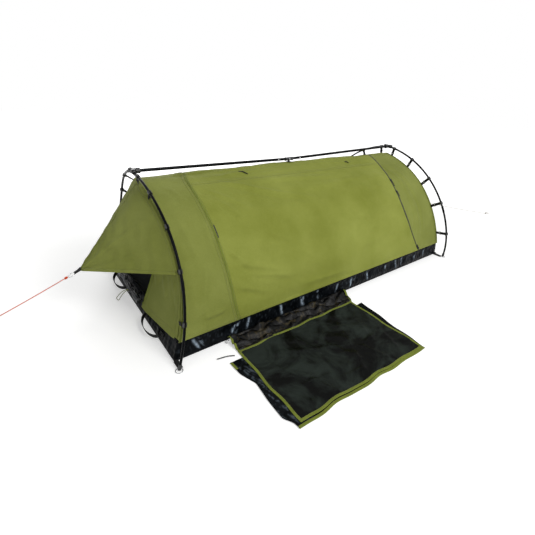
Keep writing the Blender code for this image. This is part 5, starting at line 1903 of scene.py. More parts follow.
@dataclass
class EndWalls:
    """The closed foot wall, the front door's hanging half and rolled half, and the rolled insect screen.

    flap_edge is how far the hanging half reaches from the middle at shares of its height. flap_hang says
    where its lower edge starts to hang over the tub's wall, over what width, and how far down it goes.
    """

    top_share: float = 0.955
    sheet: float = 0.0016
    flap_edge: tuple[tuple[float, float], ...] = (
        (0.0, 0.16), (0.12, 0.21), (0.30, 0.24), (0.55, 0.18), (0.80, 0.08), (1.0, 0.02))
    flap_hang: tuple[float, float, float] = (-0.56, 0.42, 0.058)
    flap_facing: tuple[float, float, float] = (-1.0, 0.0, 0.05)
    roll_radius: float = 0.020
    roll_step: float = 0.0045
    roll_span: tuple[float, float] = (0.118, 0.835)
    screen_roll_ends: tuple[float, float] = (-0.105, 0.43)
    screen_roll_height: float = 0.076
    screen_roll_out: float = 0.026
    toggle_start: tuple[float, float] = (0.045, 0.004)
    toggle_tip: tuple[float, float, float] = (-1.1440, 0.1090, 0.0065)
    toggle_bend: float = 0.0095
    toggle_radius: float = 0.0019

    def build(self) -> None:
        """Build the walls and both rolls."""
        self.rear_wall()
        self.near_flap()
        self.far_roll()
        self.screen_roll()

    def wall_grid(self, end: End, near: Array, far: Array, z: Array, folds: Callable) -> Array:
        """Give the points of a hanging wall in the plane of its hoop.

        Args:
            end: which end.
            near: its near edge, row by row.
            far: its far edge, row by row.
            z: the height of its rows.
            folds: gives the folds' height from Y and Z.

        Returns:
            The grid.
        """
        y = mixed(near[:, None], far[:, None], np.linspace(0.0, 1.0, 110)[None])
        height = np.broadcast_to(z[:, None], y.shape)
        return xyz(SHAPE.hoop_x(end, height) + folds(y, height), y, height)

    def rear_wall(self) -> None:
        """Build the foot wall, with its soft upright folds and its hems."""
        share = np.linspace(0.0, self.top_share, 96)
        half, z = inside_arch(End.REAR, share)

        def folds(y: Array, height: Array) -> Array:
            """Give the foot wall's folds."""
            held = smooth((half[:, None] - np.abs(y)) / 0.05) * smooth(share / 0.05)[:, None]
            gather = 0.0022 * np.sin(y * 34 + 1.2 * np.sin(height * 9)) * smooth((0.52 - height) / 0.35)
            return (ripple(y, height, 41, 0.16, 0.0022, 0.6) + gather) * held

        grid = self.wall_grid(End.REAR, -half, half, z, folds)
        wall = thicken(grid_object("canvas_foot_wall", grid, CANVAS, grid[..., 1:]), self.sheet, 0.0)
        settle(wall, Slot.CANVAS, "rear_wall")
        declare_cloth(wall, grid, "stretched", "canvas_rear_band")
        rows = [(grid[k] + [0.0012, 0.0, 0.0], [1.0, 0.0, 0.0]) for k in (2, 5)]
        stitches("foot_wall_stitching", rows, Slot.CANVAS, OLIVE_THREAD)

    def near_flap(self) -> None:
        """Build the front door's near half, which hangs over the tub's wall, with its bound edge and its hems."""
        share = np.linspace(0.0, self.top_share, 120)
        half, z = inside_arch(End.FRONT, share)
        rise = (z - SHAPE.tub_height) / (SHAPE.hoop_height - SHAPE.top_drops[End.FRONT] - SHAPE.tub_height)
        inner = windowed(np.interp(rise, *zip(*self.flap_edge)), 17) * SHAPE.tub_width / 2
        inner = np.minimum(inner, half - 0.004)

        def folds(y: Array, height: Array) -> Array:
            """Give the hanging half's folds, deepest at its free edge.

            Args:
                y: places across the swag.
                height: places up it.

            Returns:
                The folds' heights.
            """
            free = smooth((np.abs(y) * -1 + inner[:, None] + 0.16) / 0.16)
            held = smooth((half[:, None] - np.abs(y)) / 0.045) * smooth((height - 0.102) / 0.03)
            drape = 0.0065 * np.sin((np.abs(y) - 0.05 * height) * 62) * free
            pull = 0.0035 * bump((np.abs(y) - 0.235 - 0.25 * (height - 0.25)) / 0.016)
            return (drape + pull + ripple(y, height, 42, 0.11, 0.0024, 0.55)) * held * smooth((0.66 - height) / 0.10)

        grid = self.wall_grid(End.FRONT, -half, -inner, z, folds)
        begin, width, fall = self.flap_hang
        sag = fall * np.clip((grid[..., 1] - begin) / width, 0.0, 1.0)
        grid[..., 2] -= sag * smooth((0.27 - grid[..., 2]) / 0.16)
        wall = grid[..., 2] / SHAPE.tub_height * SHAPE.tub_lean(End.FRONT) - SHAPE.length / 2 - 0.0055
        grid[..., 0] += (np.minimum(grid[..., 0], wall) - grid[..., 0]) * smooth((sag - 0.004) / 0.010)
        flap = thicken(grid_object("canvas_door_flap", grid, BAND_CANVAS, grid[..., 1:], flip=True), self.sheet, 0.0)
        settle(flap, Slot.CANVAS, "front_flap_near")
        declare_cloth(flap, grid, "hung", "canvas_front_band")
        lip = grid[4:, -1] + unit(grid[4:, -1] - grid[4:, -4]) * 0.0012
        for name, path, width, thickness, finish in (
                ("flap_edge_binding", lip, 0.012, 0.0034, BINDING),
                ("flap_fold", grid[4:, -5] - [0.0022, 0.0, 0.0], 0.008, 0.0016, BAND_CANVAS),
                ("flap_outer_hem", grid[3:-6, 9] - [0.0010, 0.0, 0.0], 0.022, 0.0022, BAND_CANVAS)):
            settle(strap(name, path, self.flap_facing, width, thickness, finish), Slot.CANVAS)
        lines = [grid[6:-6, column] - [0.0020, 0.0, 0.0] for column in (5, 13)]
        lines.append(grid[7, 2:-2] - [0.0012, 0.0, 0.0])
        rows = [(line, [-1.0, 0.0, 0.0]) for line in lines]
        stitches("door_flap_stitching", rows, Slot.CANVAS, OLIVE_THREAD)

    def rolled(
        self, name: str, path: Array, hint: Sequence[float], seed: int, finish: Finish, lump: float, grooves: int
    ) -> Piece:
        """Build a length of cloth rolled up on itself, with the spiral of its turns at both ends.

        Args:
            name: the piece's name.
            path: its middle line.
            hint: a rough up direction.
            seed: picks its creases.
            finish: its surface.
            lump: how uneven it is, as a share of its radius.
            grooves: how many long folds run round it.

        Returns:
            The roll.
        """
        line = resampled(path, self.roll_step)
        ahead, side, up = line_frames(line, hint)
        run, angle, radius = lengths_along(line)[:, None], turns(64), self.roll_radius
        twist = angle[None] + 0.5 * np.sin(run * 14 + seed)
        uneven = ripple(run * 0.6, radius * angle[None] * 1.4, seed, 0.045, 0.55)
        size = 1 - lump * (0.55 + uneven * 0.45) - lump * 0.5 * np.abs(np.sin(twist * grooves / 2)) ** 5
        size = size * (1 - 0.22 * smooth(np.abs(np.sin(angle[None] - 1.0)) * 12 - 11) * 0.6)
        grid = swept(line, side, up, (radius * size)[..., None] * circle(angle)[None])
        spiral = ((0.86, 0.0010), (0.70, 0.0035), (0.62, 0.0012), (0.46, 0.0040), (0.38, 0.0015), (0.16, 0.0045))
        starts = [line[0] + ahead[0] * sink + (grid[0] - line[0]) * scale for scale, sink in spiral]
        ends = [line[-1] - ahead[-1] * sink + (grid[-1] - line[-1]) * scale for scale, sink in spiral]
        full = np.concatenate([np.array(starts[::-1]), grid, np.array(ends)])
        return grid_object(name, full, finish, close_columns=True, caps=True)

    def ties(
        self, name: str, path: Array, places: tuple[float, float], radius: float, hint: Sequence[float],
        finish: Finish, tail: Sequence[float], slot: Slot,
    ) -> None:
        """Build the two ties round a roll, each with a toggle.

        Args:
            name: the start of the pieces' names.
            path: the roll's middle line.
            places: shares along it.
            radius: of the roll, as a share of its full radius.
            hint: the roll's rough up direction.
            finish: the ties' surface.
            tail: the direction of the toggles from the roll.
            slot: the record's finish.
        """
        line = resampled(path, self.roll_step)
        ahead, side, up = line_frames(line, hint)
        radius = self.roll_radius * radius
        angle = np.linspace(0, 2 * np.pi, 41)[:-1, None]
        for number, place in enumerate(places, start=1):
            k = int(place * (len(line) - 1))
            spoke = side[k] * np.cos(angle) + up[k] * np.sin(angle)
            ring = line[k] + spoke * (radius + 0.0012)
            grid = swept(ring, np.cross(ring_ahead(ring), spoke), spoke, strap_profile(0.012, 0.0018))
            band = grid_object("band", grid, finish, close_rows=True, close_columns=True)
            middle = line[k] + unit(np.array(tail)) * (radius + 0.0052)
            bar = middle + ahead[k] * np.array([[-0.014], [0.0], [0.014]])
            toggle = tube("toggle", resampled(bar, 0.002), 0.0034, NYLON, 12, tail)
            settle(joined(f"{name}_{number}", [band, toggle]), slot)

    def far_roll(self) -> None:
        """Build the front door's far half, rolled back along the arch and tied."""
        share, up = np.linspace(*self.roll_span, 60), (1.0, 0.0, 0.0)
        y, z = inside_arch(End.FRONT, share, self.roll_radius)
        path = xyz(SHAPE.hoop_x(End.FRONT, z) + self.roll_radius, y, z) + SHAPE.front_pull(1 - share)
        roll = self.rolled("canvas_door_roll", path, up, 44, BAND_CANVAS, 0.10, 5)
        settle(roll, Slot.CANVAS, "front_flap_far")
        self.ties("door_roll_tie", path, (0.25, 0.70), 0.95, up, BINDING, (-0.3, -1.0, -0.3), Slot.CANVAS)

    def screen_roll(self) -> None:
        """Build the front insect screen, bunched in a roll over the tub's rim and tied."""
        seat, normal = SHAPE.front_wall(self.screen_roll_height)
        seat = seat + normal * self.screen_roll_out
        y, up = np.linspace(*self.screen_roll_ends, 90), (0.0, 0.0, 1.0)
        path = seat + xyz(0.0, y, 0.0)
        path[:, 0] += ripple(y, 0 * y, 45, 0.10, 0.0028)
        path[:, 2] += ripple(y, 0 * y, 46, 0.12, 0.0028) + 0.014 * smooth((y - 0.10) / 0.08)
        settle(self.rolled("net_door_roll", path, up, 47, ROLLED_NET, 0.42, 7), Slot.MESH, "screen_roll")
        self.ties("net_roll_tie", path, (0.22, 0.78), 0.86, up, WEBBING, (-1.0, 0.0, 0.4), Slot.WEBBING)
        self.toggle_loop(seat)

    def toggle_loop(self, seat: Array) -> None:
        """Build the elastic loop that ties the screen up, which hangs in front of the tub.

        Args:
            seat: a point of the rolled screen's middle line, at Y of 0.
        """
        y, rise = self.toggle_start
        start = xyz(seat[0] - self.roll_radius * 0.90, y, seat[2] + rise)
        run = np.array(self.toggle_tip) - start
        ahead = unit(run)
        side = unit(np.cross(ahead, (0.30, 0.78, -0.55)))
        reach = float(np.linalg.norm(run)) - self.toggle_bend
        turn = math.acos(self.toggle_bend / reach)
        angle = np.linspace(np.pi - turn, -np.pi + turn, 30)[:, None]
        eye = start + ahead * reach + self.toggle_bend * (np.cos(angle) * ahead + np.sin(angle) * side)
        apart = side[None] * 0.0018
        path = resampled(np.concatenate([start + apart, eye, start - apart]), 0.008)
        path[:, 2] += 0.010 * np.sin(np.pi * np.clip((path - start) @ ahead / reach, 0.0, 1.0))
        loop = tube("toggle_loop", resampled(path, 0.0015), self.toggle_radius, OLIVE_CORD, 12, (1.0, 0.0, 0.0))
        settle(loop, Slot.CANVAS)


@dataclass
class Hood:
    """A peaked hood drawn out to a webbing tab, with a hem along its free edges and a ring at its tip."""

    end: End
    thickness: float = 0.0015
    rows: int = 56
    columns: int = 150
    length: float = 0.45

    def grid(self) -> tuple[Array, Array]:
        """Give the hood's outer face.

        Returns:
            The points, and their outward directions.
        """
        sign, reach = self.end.value, SHAPE.hood_corner_share
        v = np.linspace(-reach, reach, self.columns)
        start = SHAPE.hem_line(self.end, v) + xyz(sign * SHAPE.gap, 0.0, 0.0)
        stop = SHAPE.hood_tip(self.end) + xyz(0.0, v / reach * SHAPE.tab_width / 2, 0.0)
        share = np.linspace(0.0, 1.0, self.rows)[:, None, None]
        base = mixed(start[None], stop[None], share)
        normal = grid_normals(base)
        normal = normal * np.sign(normal @ xyz(sign * 0.1, 0.0, 0.2))[..., None]
        s, across = share[..., 0], v[None] / reach
        radial = 0.0024 * np.sin(across * 13.0 + 0.6) * smooth((s - 0.35) / 0.5) * smooth((1 - s) / 0.10)
        sag = -0.0045 * np.sin(np.pi * s) * np.abs(np.sin(np.pi * across)) ** 0.8
        pull = 0.0028 * bump((across + 0.46 - 0.10 * s) / 0.035) * np.sin(np.pi * s) ** 0.7
        pull = pull + 0.0022 * bump((across + 0.74 + 0.05 * s) / 0.03) * np.sin(np.pi * s)
        waves = ripple(s * 0.5, across * 0.5, 51 if self.end is End.FRONT else 52, 0.11, 0.0015, 0.8)
        waves = waves * (smooth(s / 0.10) * smooth((1 - s) / 0.12))
        return base + normal * (radial + sag + pull + waves)[..., None], normal

    def build(self) -> None:
        """Build the cloth, its hems and stitching, its tab and its ring."""
        word, middle = self.end.word, self.columns // 2
        grid, normal = self.grid()
        over = np.pad(np.linalg.norm(np.diff(grid, axis=1), axis=2).cumsum(axis=1), ((0, 0), (1, 0)))
        uv = across_and_along(np.linspace(0.0, self.length, len(grid))[:, None], over - over[:, -1:] / 2)
        inside_out = grid_normals(grid)[20, middle] @ normal[20, middle] < 0
        cloth = grid_object(f"canvas_hood_{word}", grid, BAND_CANVAS, uv, flip=inside_out)
        settle(thicken(cloth, self.thickness), Slot.CANVAS, f"{word}_hood")
        declare_cloth(cloth, grid, "stretched", f"canvas_{word}_band")
        parts, rows = [], []
        for column, other in ((0, 6), (-1, -7)):
            inward, up = unit(grid[1:-2, other] - grid[1:-2, column]), normal[1:-2, column]
            path = grid[1:-2, column] + inward * 0.0070 + up * 0.0004
            ahead = unit(np.gradient(path, axis=0))
            parts.append(strap("hem", path, np.cross(ahead, np.cross(up, ahead)), 0.015, 0.0022, BAND_CANVAS))
            rows.append((path + inward * 0.005 + up * 0.0012, up))
        rows.append((grid[2, 1:-1] + normal[2, 1:-1] * 0.0006, normal[2, 1:-1]))
        for offset in (-0.0035, 0.0035):
            up = normal[3:-2, middle]
            rows.append((grid[3:-2, middle] + xyz(0.0, offset, 0.0) + up * 0.0009, up))
        spine = grid[2:-1, middle] + normal[2:-1, middle] * 0.0003
        parts.append(strap("spine", spine, normal[2:-1, middle], 0.013, 0.0014, BAND_CANVAS))
        settle(joined(f"hood_hems_{word}", parts), Slot.CANVAS)
        stitches(f"hood_stitching_{word}", rows, Slot.CANVAS, OLIVE_THREAD)
        self.tab()

    def tab(self) -> None:
        """Build the webbing tab that is folded round the ring, and the ring."""
        word, sideways = self.end.word, xyz(0.0, 1.0, 0.0)
        tip, ring, run = SHAPE.hood_tip(self.end), SHAPE.hood_ring(self.end), SHAPE.tab_run(self.end)
        up = unit(np.cross(run, [0.0, -self.end.value, 0.0]))
        up = up if up[2] > 0 else -up
        back = unit(SHAPE.hem_line(self.end, np.array([0.0]))[0] - tip)
        wire = float(np.dot(ring - tip, run)) - SHAPE.ring_radius
        profile = ((-0.010, 0.0022), (-0.004, 0.0022), (0.010, 0.0024), (wire - 0.006, 0.0026), (wire, 0.0032),
                   (wire + 0.0034, 0.0), (wire, -0.0032), (wire - 0.006, -0.0020), (0.006, -0.0016), (-0.008, -0.0022))
        corners = np.array([tip + (-back if a < 0 else run) * a + up * b for a, b in profile])
        path = softened(resampled(corners, 0.0020), 2)
        width = SHAPE.tab_width * (1 - 0.30 * smooth((path - tip) @ run / 0.018))
        settle(folded_strap(f"hood_tab_{word}", path, sideways, width, 0.0016), Slot.WEBBING)
        ring_piece = steel_ring(f"steel_ring_hood_{word}", ring, unit(np.cross(sideways, run)), sideways)
        settle(ring_piece, Slot.STEEL, f"hood_ring_{word}")
        places = [[(a, across) for a in (0.008, 0.004, 0.000, -0.004)] for across in (-0.009, 0.009)]
        places += [[(a, across) for across in (-0.009, 0.0, 0.009)] for a in (0.007, -0.002)]
        rows = [(np.array([tip + back * a + sideways * y + up * 0.0033 for a, y in line]), up) for line in places]
        stitches(f"hood_tab_stitching_{word}", rows, Slot.WEBBING, BLACK_THREAD, 0.004)


# ---------------------------------------------------------------- frame


@dataclass
class PoleFrame:
    """The hoops, the ridge and the mouldings that join them."""

    ridge_radius: float = 0.008
    hub_length: float = 0.066
    hub_wall: float = 0.0055
    socket_depth: float = 0.018
    ridge_socket: float = 0.036
    ferrule_length: float = 0.060
    ferrule_radius: float = 0.011
    play: float = 0.0006
    sleeve_share: float = 0.37
    sleeve_half: float = 0.030
    plug_growth: tuple[float, ...] = (
        0.0, 0.0012, 0.0015, 0.0015, 0.0015, 0.0015, 0.0015, 0.0015, 0.0015, 0.0013, 0.0011, 0.0008)
    hook_widths: tuple[float, ...] = (0.026, 0.022, 0.017, 0.014, 0.013, 0.014, 0.018, 0.024, 0.028)
    hangers: dict = field(default_factory=lambda: {
        End.FRONT: (0.245, 0.471, 0.661, 0.830, 0.945), End.REAR: (0.221, 0.459, 0.646, 0.815, 0.955)})

    def build(self) -> None:
        """Build the legs, the hubs, the ridge and the hangers."""
        for end in End:
            self.hub(end)
            for side in Side:
                self.leg(end, side)
                for number, t in enumerate(self.hangers[end], start=1):
                    Hanger(end, side, number, t).build()
        self.ridge()

    def top(self, end: End) -> Array:
        """Give the ridge's end at a hoop."""
        return xyz(SHAPE.hoop_x(end, SHAPE.hoop_height), 0.0, SHAPE.hoop_height)

    @property
    def middle(self) -> Array:
        """The ridge's middle, where it sags."""
        front = self.top(End.FRONT)
        return front + (self.top(End.REAR) - front) * SHAPE.peak_share - xyz(0.0, 0.0, SHAPE.ridge_drop)

    def leg(self, end: End, side: Side) -> None:
        """Build one half hoop with its section joint and the plug at its foot.

        Args:
            end: which hoop.
            side: which half.
        """
        word, up = f"{end.word}_{side.word}", (end.value, 0.0, 0.0)
        path = SHAPE.hoop(end, side, np.linspace(SHAPE.foot_share(end), 0.9999, 700))
        path = path[np.abs(path[:, 1]) >= self.hub_length / 2 - self.socket_depth + self.play]
        line = resampled(path, 0.010)
        run = lengths_along(line)
        sleeve = line[np.abs(run - self.sleeve_share * run[-1]) < self.sleeve_half]
        plug = line[0] + unit(line[3] - line[0]) * np.linspace(0.0, 0.030, 12)[:, None]
        radius = SHAPE.pole_radius
        parts = [tube("pole", line, radius - 0.0002, ANODISED, 20, up),
                 tube("sleeve", resampled(sleeve, 0.005), radius + 0.0008, ANODISED, 20, up),
                 tube("plug", plug, radius + np.array(self.plug_growth), NYLON, 20, up)]
        settle(joined(f"hoop_leg_{word}", parts), Slot.POLE, f"{end.word}_leg_{side.word}")

    def hub(self, end: End) -> None:
        """Build a top hub: a moulded barrel with collars, two leg sockets, a ridge socket and two bolted clamps.

        Args:
            end: which hoop it tops.
        """
        top, up, sideways = self.top(end), (0.0, 0.0, 1.0), xyz(0.0, 1.0, 0.0)
        toward = unit(self.middle - top)
        outer, ridge_outer = SHAPE.pole_radius + self.hub_wall, self.ridge_radius + self.hub_wall
        y = np.linspace(-self.hub_length / 2, self.hub_length / 2, 61)
        share = np.abs(y) / (self.hub_length / 2)
        radius = outer * (0.90 + 0.10 * smooth((share - 0.70) / 0.06)) * np.where(share > 0.985, 0.95, 1.0)
        parts = [tube("barrel", xyz(0.0, y, 0.0) + top, radius, NYLON, 28, up)]
        reach = np.linspace(0.004, self.ridge_socket, 34)
        radius = ridge_outer * np.where(reach > self.ridge_socket - 0.008, 1.0, 0.90)
        radius = radius * np.where(reach > self.ridge_socket - 0.0012, 0.95, 1.0)
        parts.append(tube("ridge_socket", top + toward * reach[:, None], radius, NYLON, 28, sideways))
        lean = unit(xyz(end.value * 0.35, 0.0, 1.0))
        for side in Side:
            for place in (0.017, 0.025):
                centre = top + sideways * side.value * place
                band = centre + sideways * np.array([[-0.0018], [0.0], [0.0018]])
                parts.append(tube("band", resampled(band, 0.0009), outer + 0.0006, NYLON, 28, up))
            bolt = top + xyz(end.value * 0.0045, side.value * 0.021, outer * 0.78)
            clamp = bolt + sideways * np.linspace(-0.0065, 0.0065, 5)[:, None] + lean * 0.0006
            parts += [self.bolt(bolt, lean), strap("clamp", clamp, lean, 0.012, 0.0030, NYLON)]
        parts.append(self.bolt(top + toward * 0.022 + xyz(0.0, 0.0, ridge_outer * 0.93), xyz(0.0, 0.0, 1.0)))
        settle(crisp(joined(f"hub_moulding_{end.word}", parts), 40.0), Slot.PLASTIC, f"{end.word}_hub")

    def bolt(self, seat: Array, up: Array) -> Piece:
        """Build the six-sided head of a bolt with its washer.

        Args:
            seat: where it sits.
            up: its unit direction.

        Returns:
            The bolt.
        """
        _, side, front = line_frames(np.stack([seat, seat + up * 0.001]), (0.3, 1.0, 0.1))
        angles = turns(24)
        hexagon = 1 / np.cos((angles % (np.pi / 3)) - np.pi / 6)
        rows = []
        for rise, size, six in ((0.0001, 0.0042, 0.0), (0.0008, 0.0042, 0.0), (0.0009, 0.0029, 1.0),
                                (0.0026, 0.0029, 1.0), (0.0031, 0.0026, 0.7), (0.0033, 0.0010, 0.0)):
            x, y = circle(angles).T * size * ((1 - six) + six * hexagon)
            rows.append(seat + up * rise + side[0] * x[:, None] + front[0] * y[:, None])
        return grid_object("bolt", np.array(rows), NICKEL, close_columns=True, caps=True)

    def ridge(self) -> None:
        """Build the two ridge poles and the ferrule between them, whose hook holds up the roof."""
        middle, toward_near = self.middle, xyz(0.0, -1.0, 0.0)
        for end in End:
            toward = unit(middle - self.top(end))
            start = self.top(end) + toward * (self.ridge_socket - self.socket_depth + self.play)
            stop = middle - toward * (self.ferrule_length / 2 + self.play)
            line = resampled(np.stack([start, stop]), 0.010)
            snap = stop - toward * 0.055 + toward_near * self.ridge_radius * 0.97
            parts = [tube("ridge", line, self.ridge_radius - 0.0001, ANODISED, 22), self.bolt(snap, toward_near)]
            settle(joined(f"ridge_tube_{end.word}", parts), Slot.POLE, f"ridge_pole_{end.word}")
        half = self.ferrule_length / 2
        x = np.linspace(-half, half, 61)
        share = np.abs(x) / half
        radius = self.ferrule_radius * (0.90 + 0.10 * smooth((share - 0.72) / 0.06))
        radius = radius * np.where(share > 0.98, 0.95, 1.0)
        peak = SHAPE.plain_skin(SHAPE.peak_share, 0.0)
        drop = np.linspace(middle[2] - self.ferrule_radius * 0.7, peak[2] + 0.0028, 9)
        parts = [tube("ferrule", middle + xyz(x, 0.0, 0.0), radius, NYLON, 28),
                 strap("hook", xyz(middle[0], 0.0, drop), (0.0, 1.0, 0.0), self.hook_widths, 0.0085, NYLON),
                 self.bolt(middle + toward_near * self.ferrule_radius * 0.88, toward_near)]
        settle(crisp(joined("ridge_joint", parts), 40.0), Slot.PLASTIC, "ridge_ferrule")
        loop = CANOPY.skin(np.linspace(SHAPE.peak_share - 0.014, SHAPE.peak_share + 0.014, 14), 0.0, 0.0011)
        loop[:, 2] += 0.0005 * np.sin(np.pi * np.linspace(0, 1, 14))
        settle(strap("peak_loop", loop, (0.0, 0.0, 1.0), 0.026, 0.0014), Slot.WEBBING)


@dataclass
class Hanger:
    """A plastic clip on the pole, with the webbing that carries the canvas's hem and its ladder buckle."""

    end: End
    side: Side
    number: int
    share: float
    width: float = 0.020
    webbing: float = 0.0018
    clip_wall: float = 0.0025
    clip_play: float = 0.0005
    long_reach: float = 0.025

    def axes(self) -> tuple[Array, Array, Array, Array]:
        """Give where the hanger is.

        Returns:
            The point on the pole's axis, and the directions along the pole, to the canvas and across.
        """
        t = self.share
        centre, ahead, behind = SHAPE.hoop(self.end, self.side, np.array([t, min(t + 0.01, 1.0), t - 0.01]))
        along = unit(ahead - behind)
        away = self.hem_points() - centre
        if not self.pulled:
            away[:, 0] = 0.0
        inward = unit(away[np.argmin(np.linalg.norm(away, axis=1))])
        inward = unit(inward - along * float(np.dot(inward, along)))
        return centre, along, inward, np.cross(along, inward)

    @property
    def pulled(self) -> bool:
        """Whether the canvas is pulled off the hoop at this hanger."""
        return self.end is End.FRONT and self.side is Side.FAR

    def hem_points(self) -> Array:
        """Give close points on this half of the hem."""
        return SHAPE.hem_line(self.end, np.linspace(0.0, self.side.value, 401))

    def reach(self, origin: Array, direction: Array) -> float:
        """Give how far it is from a point to the canvas.

        Args:
            origin: the point.
            direction: the unit direction to look along.

        Returns:
            The distance.
        """
        if self.pulled:
            return float(np.linalg.norm(self.hem_points() - origin, axis=1).min())
        steps = np.arange(SHAPE.pole_radius, SHAPE.hoop_span / 2, self.webbing / 8)
        line = origin + direction * steps[:, None]
        y, z = SHAPE.arch(self.end, np.linspace(-1.0, 0.0, 801))
        inside = np.abs(line[:, 1]) < np.where(line[:, 2] >= z[-1], 0.0, np.interp(line[:, 2], z, np.abs(y)))
        return float(steps[np.argmax(inside)]) if inside.any() else float(steps[-1])

    def clip_outline(self, bore: float, shell: float, neck: float) -> Array:
        """Give the clip's section: an open C round the pole, with a neck to the webbing.

        Args:
            bore: its inner radius.
            shell: its outer radius.
            neck: where the neck ends.

        Returns:
            Points of shape (n, 2), towards the canvas and across.
        """
        lip = np.array([[shell * math.cos(np.pi - 0.40) - 0.0008, shell * math.sin(0.40) + 0.0006]])
        return np.concatenate([
            shell * circle(np.linspace(0.30, np.pi - 0.44, 22)), lip,
            bore * circle(np.linspace(np.pi - 0.44, -np.pi + 0.44, 44)), lip * [1.0, -1.0],
            shell * circle(np.linspace(-np.pi + 0.44, -0.30, 22)), [[neck, -0.0030], [neck, 0.0030]]])

    def build(self) -> None:
        """Build the clip, the webbing and the buckle."""
        axes = centre, along, inward, across = self.axes()
        reach = min(self.reach(centre + along * k * self.width / 2, inward) for k in (-1, 0, 1)) - SHAPE.slide_gap
        bore = SHAPE.pole_radius + self.clip_play
        shell = bore + self.clip_wall
        neck = min(shell + 0.0045, max(reach - 0.0010, shell + 0.0008))
        profile = self.clip_outline(bore, shell, neck)
        rows = []
        for place in (-0.50, -0.46, -0.2, 0.0, 0.2, 0.46, 0.50):
            ring = profile * (0.97 if abs(place) > 0.46 else 1.0)
            rows.append(centre + along * (place * self.width) + inward * ring[:, 0:1] + across * ring[:, 1:2])
        parts = [crisp(grid_object("clip", np.array(rows), NYLON, close_columns=True, caps=True), 30.0)]
        parts += self.tape(axes, neck, reach)
        if self.end is End.FRONT and self.number <= 2:
            outside = xyz(self.end.value * (SHAPE.hem + 0.0018), 0.0, 0.0)
            patch = centre + outside + inward * np.linspace(reach - 0.004, reach + 0.024, 9)[:, None]
            parts.append(strap("patch", patch, (self.end.value, 0.0, 0.0), self.width, self.webbing))
        word = f"{self.end.word}_{self.side.word}_{self.number}"
        settle(joined(f"hoop_clip_{word}", parts), Slot.WEBBING, f"hanger_{word}")

    def tape(self, axes: tuple[Array, Array, Array, Array], neck: float, reach: float) -> list[Piece]:
        """Build the webbing between the clip and the canvas's hem, with a ladder buckle or a short tail.

        Args:
            axes: the point on the pole's axis, and the three directions.
            neck: where the clip ends.
            reach: where the canvas is.

        Returns:
            The webbing's parts.
        """
        centre, along, inward, across = axes
        span = reach - neck
        path = centre + inward * np.linspace(neck - 0.0015, reach, max(int(span / 0.003), 3) + 1)[:, None]
        parts = [strap("tape", path, across, self.width * 0.98, self.webbing)]
        if span > self.long_reach:
            doubled = centre + inward * np.linspace(neck + 0.001, neck + span * 0.52, 9)[:, None] + across * 0.0019
            parts.append(strap("return", doubled, across, self.width * 0.94, self.webbing))
            middle = centre + inward * (neck + span * 0.50)
            corners = ((-0.005, -0.012), (0.005, -0.012), (0.005, 0.012), (-0.005, 0.012), (-0.005, -0.012))
            ladder = np.array([middle + inward * a + along * b + across * 0.0006 for a, b in corners])
            bar = np.array([middle + along * b + across * 0.0024 for b in (-0.012, 0.012)])
            parts += [tube(name, resampled(line, 0.002), radius, NICKEL, 8, across)
                      for name, line, radius in (("ladder", ladder, 0.0014), ("bar", bar, 0.0013))]
        else:
            start = centre + inward * (neck - 0.0045) + across * 0.0044
            run = unit(inward * 0.25 - along * self.side.value * 0.10 + across * 0.18 - xyz(0.0, 0.0, 1.0))
            length = 0.020 + 0.008 * math.sin(self.number * 2.3)
            hang = start + run * np.linspace(0.0, 1.0, 9)[:, None] * length
            parts.append(strap("tail", hang, across, 0.010, 0.0014))
        return parts


CANOPY = Canopy()


# ---------------------------------------------------------------- handles


